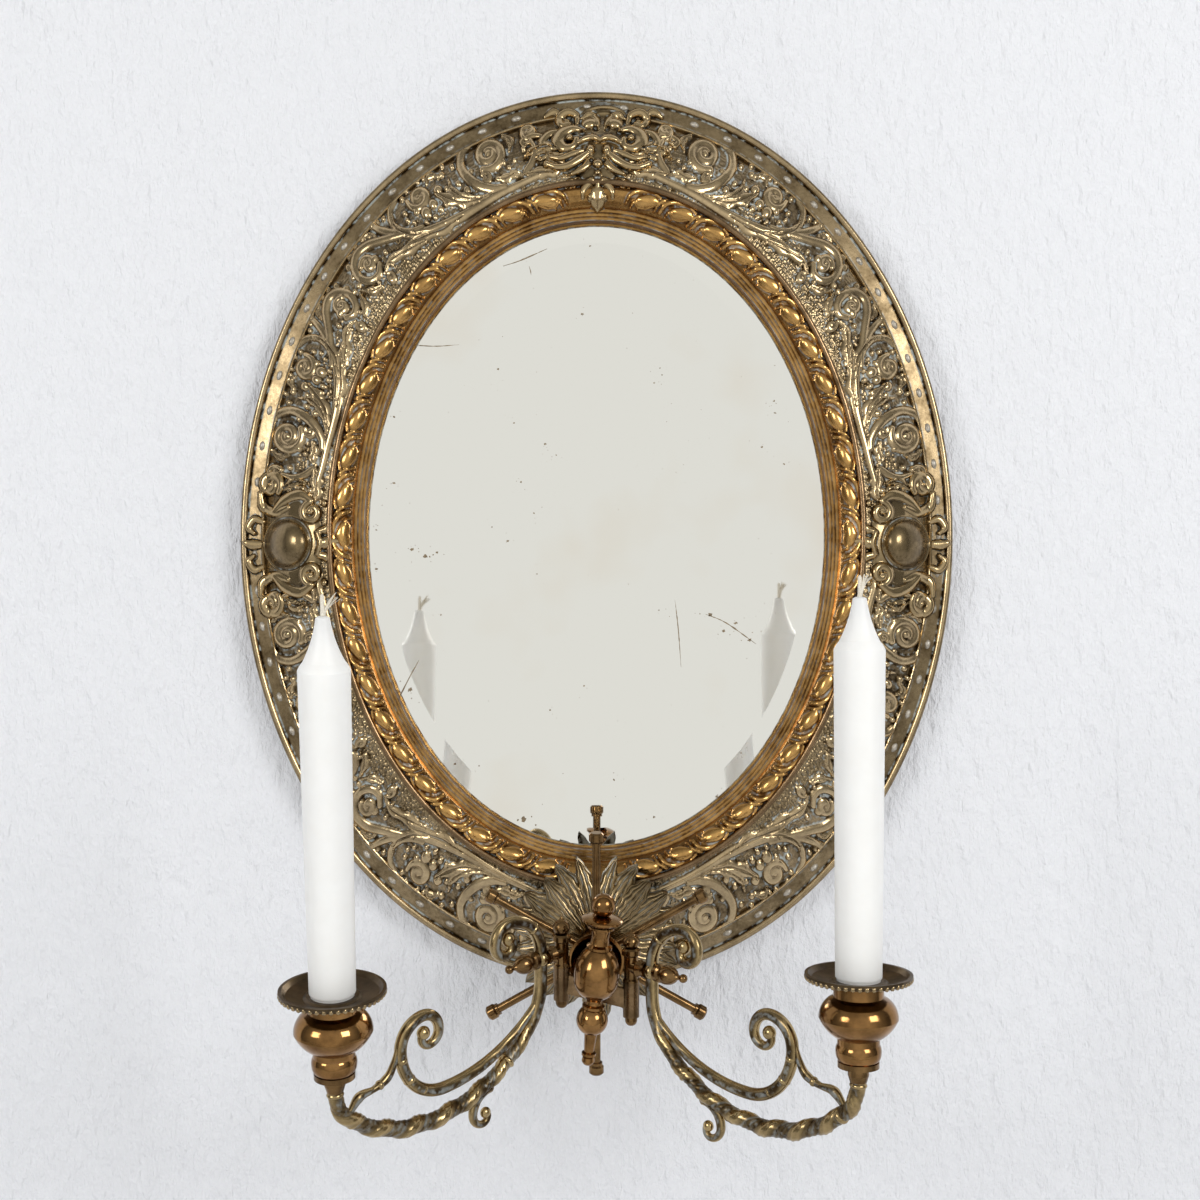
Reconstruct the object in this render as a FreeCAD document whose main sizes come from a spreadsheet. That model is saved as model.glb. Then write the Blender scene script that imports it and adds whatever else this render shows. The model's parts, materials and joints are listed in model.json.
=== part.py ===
import FreeCAD, Part
import math
import os

import Sketcher
from FreeCAD import Placement, Rotation, Vector

# An oval wall mirror with two swinging candle arms (a girandole).
# Millimetres. +Z is up, the front faces -Y, the wall is the plane y = 0, and
# the origin is the centre of the oval on that plane. "Depth" is a distance in
# front of the wall, "inset" a distance in from the outer edge of the oval.

doc = FreeCAD.newDocument("girandole_mirror")
sheet = doc.addObject("Spreadsheet::Sheet", "Sizes")


# ---------------------------------------------------------------- the sizes
class Size:
    """A length or angle with its value and its expression in the sheet."""

    def __init__(self, value, text):
        self.value = float(value)
        self.text = text

    def __add__(self, other):
        other = as_size(other)
        return Size(self.value + other.value, f"({self.text} + {other.text})")

    def __radd__(self, other):
        return as_size(other) + self

    def __sub__(self, other):
        other = as_size(other)
        return Size(self.value - other.value, f"({self.text} - {other.text})")

    def __rsub__(self, other):
        return as_size(other) - self

    def __mul__(self, other):
        other = as_size(other)
        return Size(self.value * other.value, f"({self.text} * {other.text})")

    def __rmul__(self, other):
        return as_size(other) * self

    def __truediv__(self, other):
        other = as_size(other)
        return Size(self.value / other.value, f"({self.text} / {other.text})")

    def __neg__(self):
        return Size(-self.value, f"(-1 * {self.text})")


def as_size(number):
    if isinstance(number, Size):
        return number
    return Size(number, repr(float(number)))


rows = []


def size(name, value, note):
    """Write one driving dimension on its own row of the sheet."""
    rows.append(name)
    row = str(len(rows))
    sheet.set("A" + row, name)
    sheet.set("B" + row, str(value))
    sheet.set("C" + row, note)
    sheet.setAlias("B" + row, name)
    return Size(value, "Sizes." + name)


# oval frame, seen from the front
outer_half_width = size("outer_half_width", 190.0, "half the width of the oval")
outer_half_height = size("outer_half_height", 237.0, "half the height of the oval")
end_gain = size("end_gain", 1.055, "mouldings are this much wider at top and foot")
sheet_gauge = size("sheet_gauge", 1.0, "thickness of the embossed brass")

# moulding, from the outer edge inwards
skirt_foot = size("skirt_foot", 5.5, "depth where the brass skirt ends")
rim_depth = size("rim_depth", 12.9, "depth of the rolled rim")
rim_width = size("rim_width", 4.0, "width of the rolled rim")
rim_drop = size("rim_drop", 2.1, "fall from the rolled rim to the bead band")
bead_band_width = size("bead_band_width", 7.4, "flat band that carries the oval beads")
bead_band_rise = size("bead_band_rise", 2.4, "rise across the bead band")
line_width = size("line_width", 2.0, "thin raised line beside the bead band")
line_height = size("line_height", 1.3, "height of that line")
scroll_band_width = size("scroll_band_width", 36.6, "sloping band of scroll ornament")
scroll_band_rise = size("scroll_band_rise", 23.4, "rise across the scroll band")
ridge_seat_width = size("ridge_seat_width", 3.8, "flat that the ridge wire lies on")
ridge_wire_radius = size("ridge_wire_radius", 1.7, "round wire along the ridge")
gadroon_width = size("gadroon_width", 9.8, "rolled band of gadroons")
gadroon_height = size("gadroon_height", 2.4, "top of the gadroons above the seat")
gadroon_fall = size("gadroon_fall", 5.4, "fall from the seat to the first fillet")
fillet_width = size("fillet_width", 1.65, "tread of each sight fillet")
fillet_fall = size("fillet_fall", 1.2, "riser of each sight fillet")

# relief that the embossing raises on the scroll band and on the gadroon band
relief_height = size("relief_height", 1.7, "embossed stems and scrolls above the slope")
stem_width = size("stem_width", 2.2, "embossed stems")
leaf_width = size("leaf_width", 3.4, "embossed leaves and outer bows")
big_scroll_radius = size("big_scroll_radius", 7.6, "large scrolls of the band")
flower_radius = size("flower_radius", 5.8, "flowers of the band")
berry_radius = size("berry_radius", 2.8, "largest berries of the band")
lobe_width = size("lobe_width", 3.4, "raised part of a gadroon")
lobe_height = size("lobe_height", 1.2, "raised part of a gadroon")

# glass and backing
glass_depth = size("glass_depth", 24.0, "depth of the front of the mirror glass")
glass_thickness = size("glass_thickness", 4.0, "mirror plate")
glass_edge = size("glass_edge", 2.4, "thickness left at the bevelled edge")
glass_lap = size("glass_lap", 6.0, "glass hidden behind the brass all round")
bevel_width = size("bevel_width", 16.0, "ground bevel of the glass")
packing_thickness = size("packing_thickness", 3.0, "thin board behind the glass")
fit_gap = size("fit_gap", 0.4, "clearance round the glass and boards")
glass_slack = size("glass_slack", 0.1, "glass in front to back in its rebate")
back_thickness = size("back_thickness", 5.0, "oval back board")
back_inset = size("back_inset", 4.0, "back board in from the outer edge")
block_length = size("block_length", 24.0, "glue block")
block_width = size("block_width", 11.0, "glue block")
block_gap = size("block_gap", 1.5, "glue block from the edge of the rebate")
screw_circle_inset = size("screw_circle_inset", 37.0, "back screws in from the edge")
screw_radius = size("screw_radius", 1.5, "back screw shank")
screw_head_radius = size("screw_head_radius", 3.0, "back screw head")
screw_length = size("screw_length", 14.0, "back screw")

# hanging plate at the top of the back
hanger_width = size("hanger_width", 46.0, "brass hanging plate")
hanger_height = size("hanger_height", 22.0, "brass hanging plate")
hanger_gauge = size("hanger_gauge", 1.6, "brass hanging plate")
hanger_drop = size("hanger_drop", 34.0, "hanging hole below the top of the oval")
hanger_centre = outer_half_height - hanger_drop
hanger_hole_radius = size("hanger_hole_radius", 5.0, "hole for the wall hook or screw")
hanger_pocket_depth = size("hanger_pocket_depth", 9.0, "room behind the plate for a head")
hanger_pocket_radius = size("hanger_pocket_radius", 8.0, "room behind the plate for a head")
hanger_screw_offset = size("hanger_screw_offset", 16.5, "plate screws beside the hole")
hanger_board_gap = size("hanger_board_gap", 3.0, "back board ends below the hanging plate")

# applied ornaments on the frame
ornament_gauge = size("ornament_gauge", 5.0, "relief of the applied castings")
crest_drop = size("crest_drop", 32.0, "middle of the crest below the top of the oval")
crest_height = outer_half_height - crest_drop
crest_lobe = size("crest_lobe", 13.0, "main lobes of the crest")
crest_reach = size("crest_reach", 25.0, "outer buds of the crest from its middle")
boss_inset = size("boss_inset", 28.0, "side boss in from the edge of the oval")
boss_reach = outer_half_width - boss_inset
boss_height = size("boss_height", -4.5, "side boss below the middle of the oval")
boss_radius = size("boss_radius", 12.6, "smooth dome of the side boss")
boss_ring = size("boss_ring", 0.8, "narrow ring round the dome")
boss_dome_height = size("boss_dome_height", 6.5, "dome above its ring")
scroll_ear_radius = size("scroll_ear_radius", 7.5, "scrolls above and below the boss")
scroll_ear_offset = size("scroll_ear_offset", 19.0, "scrolls from the middle of the boss")

# the hub that carries the arms
hub_depth = size("hub_depth", 70.0, "plane of the six spokes in front of the wall")
hub_rise = size("hub_rise", 26.5, "middle of the six spokes above the foot of the oval")
hub_height = hub_rise - outer_half_height
hub_tilt = size("hub_tilt", 8.0, "hub faces this many degrees down")
spoke_reach = size("spoke_reach", 60.0, "spokes from the middle of the hub")
spoke_radius = size("spoke_radius", 2.1, "plain spoke tube")
spoke_knob_radius = size("spoke_knob_radius", 3.7, "drum at the end of a spoke")
spoke_knob_length = size("spoke_knob_length", 5.0, "drum at the end of a spoke")
spoke_ring = size("spoke_ring", 1.2, "ring on the spoke in front of its drum")
edge_round = size("edge_round", 0.9, "edges of turned drums and rings")
hub_radius = size("hub_radius", 9.0, "hub that the spokes screw into")
hub_thickness = size("hub_thickness", 8.0, "hub that the spokes screw into")
bell_radius = size("bell_radius", 14.0, "bell in front of the hub")
bell_height = size("bell_height", 6.0, "bell in front of the hub")
bell_wall = size("bell_wall", 1.4, "bell in front of the hub")
stud_radius = size("stud_radius", 3.0, "stud that holds the hub together")
stud_clearance = size("stud_clearance", 0.05, "bores on the stud")
rosette_radius = size("rosette_radius", 42.0, "leaf tips from the middle of the rosette")
rosette_back = size("rosette_back", 17.0, "rosette behind the spokes")
rosette_gauge = size("rosette_gauge", 1.6, "cast leaf thickness")
rosette_dish = size("rosette_dish", 8.0, "leaf tips curl back this far")
leaf_half_width = size("leaf_half_width", 7.2, "half the width of one leaf")
collar_radius = size("collar_radius", 12.0, "distance collar behind the rosette")
washer_radius = size("washer_radius", 9.0, "washer behind the wooden frame")
washer_thickness = size("washer_thickness", 1.2, "washer behind the wooden frame")
nut_half_width = size("nut_half_width", 5.0, "square nut on the stud")
nut_thickness = size("nut_thickness", 4.0, "square nut on the stud")
nut_pocket = size("nut_pocket", 8.0, "room for the nut in the back of the wood")
stud_tail = size("stud_tail", 1.0, "stud showing behind its nut")
stud_in_bulb = size("stud_in_bulb", 4.0, "stud screwed into the bulb")
sleeve_wall = size("sleeve_wall", 1.6, "distance sleeve between yoke and bulb")

# middle spindle, turned
spindle_reach = size("spindle_reach", 38.0, "spindle in front of the spokes")
spindle_raise = size("spindle_raise", 2.0, "middle of the bulb above the stud")
spindle_lean = size("spindle_lean", 5.5, "spindle leans to the right")
bulb_radius = size("bulb_radius", 10.7, "large bulb")
bulb_below = size("bulb_below", 9.5, "large bulb below its widest line")
bulb_above = size("bulb_above", 15.0, "large bulb above its widest line")
neck_radius = size("neck_radius", 4.7, "necks of the spindle")
upper_neck_height = size("upper_neck_height", 11.0, "neck above the bulb")
neck_waist = size("neck_waist", 0.7, "hollow of each neck")
saucer_radius = size("saucer_radius", 9.8, "saucer under the ball")
saucer_height = size("saucer_height", 5.0, "saucer under the ball")
ball_radius = size("ball_radius", 5.7, "ball on top")
lower_neck_height = size("lower_neck_height", 5.0, "neck under the bulb")
lower_ball_radius = size("lower_ball_radius", 7.6, "small ball")
pendant_length = size("pendant_length", 10.5, "tapered tube under the small ball")
pendant_radius = size("pendant_radius", 3.1, "top of the tapered tube")
pendant_taper = size("pendant_taper", 0.8, "narrowing of the tapered tube")
end_knob_radius = size("end_knob_radius", 3.1, "knob at the foot of the spindle")
core_radius = size("core_radius", 1.6, "rod that strings the spindle together")

# hinges
hinge_spread = size("hinge_spread", 17.0, "hinge pins left and right of the middle")
hinge_depth = size("hinge_depth", 86.0, "hinge pins in front of the wall")
left_hinge_rise = size("left_hinge_rise", 5.0, "left elbow above the middle of the hub")
right_hinge_rise = size("right_hinge_rise", -2.5, "right elbow above the middle of the hub")
left_hinge_height = hub_height + left_hinge_rise
right_hinge_height = hub_height + right_hinge_rise
left_sag = size("left_sag", 9.0, "left hinge leans forward, in degrees")
right_sag = size("right_sag", 1.0, "right hinge leans forward, in degrees")
arm_swing = size("arm_swing", 45.0, "arms swung out from the wall, in degrees")
pin_radius = size("pin_radius", 1.7, "hinge pin")
pin_clearance = size("pin_clearance", 0.05, "running fit on the hinge pin")
barrel_radius = size("barrel_radius", 4.0, "fixed hinge barrel")
barrel_length = size("barrel_length", 17.0, "fixed hinge barrel")
sleeve_radius = size("sleeve_radius", 3.4, "sleeve of the elbow on the pin")
sleeve_below = size("sleeve_below", 7.5, "sleeve below the spigot")
sleeve_above = size("sleeve_above", 9.0, "sleeve above the spigot")
sleeve_foot_radius = size("sleeve_foot_radius", 4.0, "ring at the foot of the sleeve")
sleeve_collar_height = size("sleeve_collar_height", 4.0, "collar at the top of the sleeve")
sleeve_collar_radius = size("sleeve_collar_radius", 4.6, "collar at the top of the sleeve")
face_gap = size("face_gap", 0.05, "gap between faces that turn on each other")
finial_radius = size("finial_radius", 4.3, "teardrop finial on the pin")
finial_height = size("finial_height", 9.5, "teardrop finial on the pin")
pin_nut_radius = size("pin_nut_radius", 3.0, "domed nut under the barrel")
pin_nut_height = size("pin_nut_height", 4.2, "domed nut under the barrel")
yoke_thickness = size("yoke_thickness", 4.0, "bar that joins the hinge barrels")
yoke_height = size("yoke_height", 9.0, "bar that joins the hinge barrels")

# arms
spigot_radius = size("spigot_radius", 2.4, "spigot of the elbow through the arm")
spigot_clearance = size("spigot_clearance", 0.05, "spigot in the arm")
elbow_radius = size("elbow_radius", 3.3, "elbow outside the arm")
stem_reach = size("stem_reach", 14.0, "upright of the arm from the pin")
stem_rise = size("stem_rise", 3.0, "upright above the spigot")
lug_radius = size("lug_radius", 4.4, "lug that the spigot passes through")
lug_half_length = size("lug_half_length", 3.4, "lug that the spigot passes through")
arm_reach = size("arm_reach", 136.0, "candle from the hinge pin")
arm_drop = size("arm_drop", 59.0, "lowest point of the arm below the spigot")
bow_share = size("bow_share", 0.603, "lowest point of the arm, as a share of its reach")
bow_reach = arm_reach * bow_share
stem_bow_gain = size("stem_bow_gain", 1.14, "long bow on the hinge side, over one plain arc")
cup_bow_gain = size("cup_bow_gain", 1.2, "long bow on the candle side, over one plain arc")
arm_radius = size("arm_radius", 2.8, "main tube of the arm")
crook_radius = size("crook_radius", 20.0, "crook at the top of the arm")
crook_curl_radius = size("crook_curl_radius", 9.0, "curl that ends the crook")
branch_radius = size("branch_radius", 2.2, "upper branch")
branch_gap = size("branch_gap", 13.5, "upper branch above the lowest point")
branch_bow_radius = size("branch_bow_radius", 26.0, "outer bow of the branch")
branch_lead = size("branch_lead", 7.0, "lowest point of the branch before the arm's")
branch_reach = bow_reach - branch_lead
tail_radius = size("tail_radius", 1.9, "small curl under the arm")
tail_bow_radius = size("tail_bow_radius", 11.0, "small curl under the arm")
leaf_tube_radius = size("leaf_tube_radius", 1.5, "leaf between branch and cup")
bud_radius = size("bud_radius", 3.3, "buds along the arm")
acorn_radius = size("acorn_radius", 4.6, "acorn nut on the spigot")
acorn_length = size("acorn_length", 15.0, "acorn nut on the spigot")
acorn_ball_radius = size("acorn_ball_radius", 2.1, "ball at the tip of the acorn")

# candle cups
cup_foot = size("cup_foot", -21.0, "foot of the cup from the spigot's level")
cup_flange_radius = size("cup_flange_radius", 9.0, "flange at the foot of the cup")
cup_flange_height = size("cup_flange_height", 3.0, "flange at the foot of the cup")
peg_radius = size("peg_radius", 3.3, "peg of the foot up into the cup")
peg_height = size("peg_height", 5.0, "peg of the foot up into the cup")
cup_boss_radius = size("cup_boss_radius", 4.6, "tapered socket under the flange")
cup_boss_height = size("cup_boss_height", 6.0, "tapered socket under the flange")
lower_bulb_radius = size("lower_bulb_radius", 9.9, "small bulb of the cup")
lower_bulb_height = size("lower_bulb_height", 7.5, "small bulb of the cup")
cup_waist_radius = size("cup_waist_radius", 9.2, "waist of the cup")
cup_waist_height = size("cup_waist_height", 2.5, "waist of the cup")
main_bulb_radius = size("main_bulb_radius", 17.2, "large bulb of the cup")
main_bulb_height = size("main_bulb_height", 17.0, "large bulb of the cup")
cup_neck_radius = size("cup_neck_radius", 10.9, "neck under the drip pan")
cup_neck_height = size("cup_neck_height", 6.0, "neck under the drip pan")
pan_radius = size("pan_radius", 23.2, "rim of the drip pan")
pan_height = size("pan_height", 5.0, "drip pan, rim above its foot")
pan_gauge = size("pan_gauge", 1.4, "drip pan sheet")
pan_lip_radius = size("pan_lip_radius", 11.5, "collar of the pan round the candle")

# candles
candle_foot_radius = size("candle_foot_radius", 9.4, "butt of the candle in the cup")
candle_seat_depth = size("candle_seat_depth", 20.0, "butt of the candle in the cup")
candle_clearance = size("candle_clearance", 0.2, "candle in its cup")
candle_base_radius = size("candle_base_radius", 10.1, "candle above the pan")
candle_top_radius = size("candle_top_radius", 11.1, "candle below its shoulder")
candle_body_height = size("candle_body_height", 142.0, "candle from pan to shoulder")
candle_cone_height = size("candle_cone_height", 22.0, "cone above the shoulder")
candle_cone_radius = size("candle_cone_radius", 3.0, "top of the cone")
wick_radius = size("wick_radius", 0.9, "wick")
wick_height = size("wick_height", 9.0, "wick above the wax")
wick_depth = size("wick_depth", 12.0, "wick inside the wax")

doc.recompute()


# ---------------------------------------------------------------- helpers
pieces = []


def bind(thing, prop, amount):
    """Bind one property to the sheet, or set it where the size is a number."""
    thing.setExpression(prop, as_size(amount).text)


def keep(thing, name):
    """Name a finished piece and list it for export."""
    thing.Label = name
    pieces.append(thing)
    return thing


def finished_shape(shape, name, placement=Placement()):
    """A piece whose shape comes straight from geometry functions."""
    thing = doc.addObject("Part::Feature", name)
    thing.Shape = shape
    thing.Placement = placement
    return keep(thing, name)


def cut(name, base, *tools):
    """Cut tools from a base, one after the other."""
    result = base
    for number, tool in enumerate(tools):
        step = doc.addObject("Part::Cut", f"{name}_cut{number}")
        step.Base = result
        step.Tool = tool
        result = step
    return result


def fuse(name, *shapes):
    result = doc.addObject("Part::MultiFuse", name)
    result.Shapes = list(shapes)
    result.Refine = True
    return result


def common(name, first, second):
    result = doc.addObject("Part::Common", name)
    result.Base = first
    result.Tool = second
    return result


def cylinder(name, radius, height, placement):
    drum = doc.addObject("Part::Cylinder", name)
    bind(drum, "Radius", radius)
    bind(drum, "Height", height)
    drum.Placement = placement
    return drum


def box(name, length, width, height, placement):
    """A box centred on its placement in X and Z, its back on the placement."""
    block = doc.addObject("Part::Box", name)
    bind(block, "Length", length)
    bind(block, "Width", width)
    bind(block, "Height", height)
    half = Vector(-as_size(length).value / 2, 0, -as_size(height).value / 2)
    block.Placement = placement.multiply(Placement(half, Rotation()))
    return block


def at(x, y, z, rotation=Rotation()):
    place = [as_size(value).value for value in (x, y, z)]
    return Placement(Vector(*place), rotation)


def turn_x(degrees):
    return Rotation(Vector(1, 0, 0), as_size(degrees).value)


def turn_y(degrees):
    return Rotation(Vector(0, 1, 0), as_size(degrees).value)


def turn_z(degrees):
    return Rotation(Vector(0, 0, 1), as_size(degrees).value)


FORWARD = turn_x(90)         # a turned piece's axis towards the room
# Long axis down and flat on the wall, so each oval's seam is at its foot.
OVAL_TURN = Rotation(Vector(1, 1, 1), 240).multiply(turn_z(180))


def oval(name, inset, depth):
    """An upright ellipse, inset from the outer edge, at a depth."""
    ring = doc.addObject("Part::Ellipse", name)
    bind(ring, "MajorRadius", outer_half_height - as_size(inset) * end_gain)
    bind(ring, "MinorRadius", outer_half_width - as_size(inset))
    ring.Placement = Placement(Vector(), OVAL_TURN)
    bind(ring, "Placement.Base.y", -as_size(depth))
    return ring


def oval_loft(name, stations):
    """A solid through upright ellipses, given as (inset, depth)."""
    rings = []
    for number, (inset, depth) in enumerate(stations):
        rings.append(oval(f"{name}_oval{number}", inset, depth))
    loft = doc.addObject("Part::Loft", name)
    loft.Sections = rings
    loft.Solid = True
    loft.Ruled = True
    return loft


def arc_between(start, end, radius):
    """The shorter arc between two points, its centre left of the way."""
    chord = end.sub(start)
    middle = start.add(end).multiply(0.5)
    half = chord.Length / 2
    rise = math.sqrt(max(radius * radius - half * half, 0.0))
    left = Vector(-chord.y, chord.x, 0).normalize()
    centre = middle.add(left.multiply(rise if radius > 0 else -rise))
    first = math.atan2(start.y - centre.y, start.x - centre.x)
    last = math.atan2(end.y - centre.y, end.x - centre.x)
    circle = Part.Circle(centre, Vector(0, 0, 1), abs(radius))
    if radius > 0:
        return Part.ArcOfCircle(circle, first, last)
    return Part.ArcOfCircle(circle, last, first)


def turned(name, outline, placement):
    """A lathe-turned body from a sketch of half its section.

    The outline runs from foot to top as (radius, height) or (radius, height,
    bow), where bow is the radius of the arc to the next point: positive bulges
    outwards, negative is hollow.
    """
    body = doc.addObject("PartDesign::Body", name)
    sketch = body.newObject("Sketcher::SketchObject", name + "_section")
    plane = [f for f in body.Origin.OriginFeatures if f.Role == "XZ_Plane"][0]
    sketch.AttachmentSupport = [(plane, "")]
    sketch.MapMode = "FlatFace"
    corners = []
    for corner in outline:
        bow = corner[2] if len(corner) == 3 else None
        corners.append((as_size(corner[0]), as_size(corner[1]), bow))
    ends = []
    for index, (radius, height, bow) in enumerate(corners):
        after = corners[(index + 1) % len(corners)]
        start = Vector(radius.value, height.value, 0)
        end = Vector(after[0].value, after[1].value, 0)
        if bow is None:
            edge = sketch.addGeometry(Part.LineSegment(start, end), False)
            ends.append((edge, 1, 2, None))
        else:
            bow = as_size(bow)
            edge = sketch.addGeometry(arc_between(start, end, bow.value), False)
            first, last = (1, 2) if bow.value > 0 else (2, 1)
            ends.append((edge, first, last, bow))
    for index, (edge, first, last, bow) in enumerate(ends):
        after = ends[(index + 1) % len(ends)]
        join = ("Coincident", edge, last, after[0], after[1])
        sketch.addConstraint(Sketcher.Constraint(*join))
        radius, height, _ = corners[index]
        measure(sketch, edge, first, "DistanceX", radius, -2)
        measure(sketch, edge, first, "DistanceY", height, -1)
        if bow is not None:
            reach = bow if bow.value > 0 else -bow
            number = sketch.addConstraint(
                Sketcher.Constraint("Radius", edge, reach.value))
            sketch.setExpression(f"Constraints[{number}]", reach.text)
    turning = body.newObject("PartDesign::Revolution", name + "_turning")
    turning.Profile = sketch
    turning.ReferenceAxis = (sketch, ["V_Axis"])
    turning.Angle = 360
    body.Tip = turning
    body.Placement = placement
    return body


def measure(sketch, edge, end, kind, amount, axis):
    """Place one end of an edge by its distance from an axis of the sketch."""
    if amount.value == 0:
        rule = Sketcher.Constraint("PointOnObject", edge, end, axis)
        sketch.addConstraint(rule)
        return
    rule = Sketcher.Constraint(kind, -1, 1, edge, end, amount.value)
    number = sketch.addConstraint(rule)
    sketch.setExpression(f"Constraints[{number}]", amount.text)


# ---------------------------------------------------------------- the frame
bead_foot = rim_depth - rim_drop
bead_top = bead_foot + bead_band_rise
band_start = rim_width + bead_band_width + line_width
seat_depth = bead_top + scroll_band_rise
seat_start = band_start + scroll_band_width
gadroon_start = seat_start + ridge_seat_width
fillet_start = gadroon_start + gadroon_width
fillet_depth = seat_depth - gadroon_fall
FILLETS = 3
sight_inset = fillet_start + fillet_width * FILLETS
sight_depth = fillet_depth - fillet_fall * FILLETS
ridge_inset = seat_start + ridge_seat_width / 2
rebate_inset = sight_inset - glass_lap
bevel_rise = (glass_thickness - glass_edge) * (glass_lap - fit_gap) / bevel_width
rabbet_depth = glass_depth - glass_thickness + glass_edge + bevel_rise + glass_slack

# shares of the width and rise where a band changes slope
SCROLL_SLOPE = ((0.2, 0.27), (0.4, 0.52), (0.6, 0.73), (0.8, 0.89))
GADROON_ROLL = ((0.04, 0.6), (0.2, 1.0), (0.45, 0.85), (0.7, 0.1), (0.9, -1.1))


def front_stations():
    """The moulding's face from the skirt to the sight edge."""
    rows_of_ovals = [
        (0.0, skirt_foot),
        (0.0, rim_depth - rim_width / 2),
        (rim_width * 0.2, rim_depth - rim_width * 0.15),
        (rim_width / 2, rim_depth),
        (rim_width * 0.8, rim_depth - rim_width * 0.15),
        (rim_width, bead_foot),
        (rim_width + bead_band_width, bead_top),
        (rim_width + bead_band_width + line_width * 0.2, bead_top + line_height),
        (rim_width + bead_band_width + line_width * 0.8, bead_top + line_height),
        (band_start, bead_top),
    ]
    rows_of_ovals += band_stations()[1:] + gadroon_stations()
    for step in range(FILLETS):
        inset = fillet_start + fillet_width * step
        depth = fillet_depth - fillet_fall * step
        rows_of_ovals.append((inset, depth))
        rows_of_ovals.append((inset + fillet_width, depth))
    rows_of_ovals.append((sight_inset, sight_depth))
    return rows_of_ovals


def wood_stations():
    """The carved wooden form, one sheet thickness or more below the brass."""
    return [
        (sheet_gauge, back_thickness),
        (sheet_gauge, bead_foot - sheet_gauge),
        (rim_width, bead_foot - sheet_gauge),
        (band_start, bead_top - sheet_gauge),
        (band_start + scroll_band_width * 0.4,
         bead_top + scroll_band_rise * 0.52 - sheet_gauge),
        (seat_start, seat_depth - sheet_gauge),
        (gadroon_start + gadroon_width * 0.45, seat_depth - sheet_gauge),
        (fillet_start - sheet_gauge, fillet_depth - sheet_gauge),
        (fillet_start + fillet_width - sheet_gauge, fillet_depth - fillet_fall - sheet_gauge),
        (sight_inset - sheet_gauge, sight_depth - sheet_gauge),
    ]


def oval_plug(name, inset, start, end):
    """A straight oval plug between two depths."""
    return oval_loft(name, [(inset, start), (inset, end)])


# ---------------------------------------------------------------- places
BEYOND = 90.0        # further from the wall than anything on the oval


def hub(along, across=0.0, up=0.0, rotation=Rotation()):
    """A place in the hub's frame: its Z runs out along the stud."""
    middle = at(0, -hub_depth, hub_height, turn_x(90 + hub_tilt.value))
    return middle.multiply(at(across, up, along, rotation))


def spindle(up):
    """A place on the spindle's axis, above the widest line of its bulb."""
    stand = hub(spindle_reach, 0.0, spindle_raise).Base
    lean = turn_x(hub_tilt).multiply(turn_y(spindle_lean))
    return Placement(stand, lean).multiply(at(0, 0, up))


class Side:
    """One arm: its X runs out along the arm, its Z up along the hinge pin."""

    def __init__(self, name, sign, height, sag):
        self.name = name
        turn = -arm_swing.value if sign > 0 else 180 + arm_swing.value
        lean = turn_x(sag).multiply(turn_z(turn))
        self.frame = at(hinge_spread * sign, -hinge_depth, height, lean)

    def place(self, out, up, rotation=Rotation()):
        return self.frame.multiply(at(out, 0, up, rotation))


SIDES = (Side("left", -1, left_hinge_height, left_sag),
         Side("right", 1, right_hinge_height, right_sag))

wood_back = (hub_depth.value - back_thickness.value) / math.cos(math.radians(hub_tilt.value))
washer_seat = nut_pocket - wood_back
rosette_face = -rosette_back
yoke_back = bell_height + hub_thickness / 2 + fit_gap
yoke_front = yoke_back + yoke_thickness


# ---------------------------------------------------------------- wood, brass, glass
def screw(name, place, length, radius, head_radius):
    """A countersunk wood screw: its head is flush with the placement."""
    head = doc.addObject("Part::Cone", name + "_head")
    bind(head, "Radius1", head_radius)
    bind(head, "Radius2", radius)
    bind(head, "Height", head_radius - radius)
    head.Placement = place
    shank = cylinder(name + "_shank", radius, length, place)
    return fuse(name, head, shank)


def around_oval(inset, count, start=0.0):
    """Points round the oval as (x, z, outward angle)."""
    half_width = (outer_half_width - inset).value
    half_height = (outer_half_height - inset * end_gain).value
    for number in range(count):
        angle = math.radians(start + 360.0 * number / count)
        yield half_width * math.cos(angle), half_height * math.sin(angle), angle


BACK_SCREWS = 8
GLUE_BLOCKS = 8


def make_back_screws():
    """Screws round the back board, and two through the hanging plate."""
    spots = [(x, 0.0, z) for x, z, _ in
             around_oval(screw_circle_inset, BACK_SCREWS, 180.0 / BACK_SCREWS)]
    spots += [(hanger_screw_offset * sign, hanger_gauge - back_thickness, hanger_centre)
              for sign in (-1, 1)]
    screws = []
    for number, (x, y, z) in enumerate(spots):
        screws.append(screw(f"back_screw{number}", at(x, y, z, FORWARD), screw_length,
                            screw_radius, screw_head_radius))
    group = doc.addObject("Part::Compound", "back_screws")
    group.Links = screws
    return keep(group, "back_screws")


def make_hanger(screws):
    """A brass plate with a round hole, screwed to the wood above the back board."""
    plate = box("hanger_plate_blank", hanger_width, hanger_gauge, hanger_height,
                at(0, -back_thickness, hanger_centre))
    hole = cylinder("hanger_hole", hanger_hole_radius, BEYOND, at(0, 1, hanger_centre, FORWARD))
    keep(cut("hanger_plate", plate, hole, screws), "hanger_plate")


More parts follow.
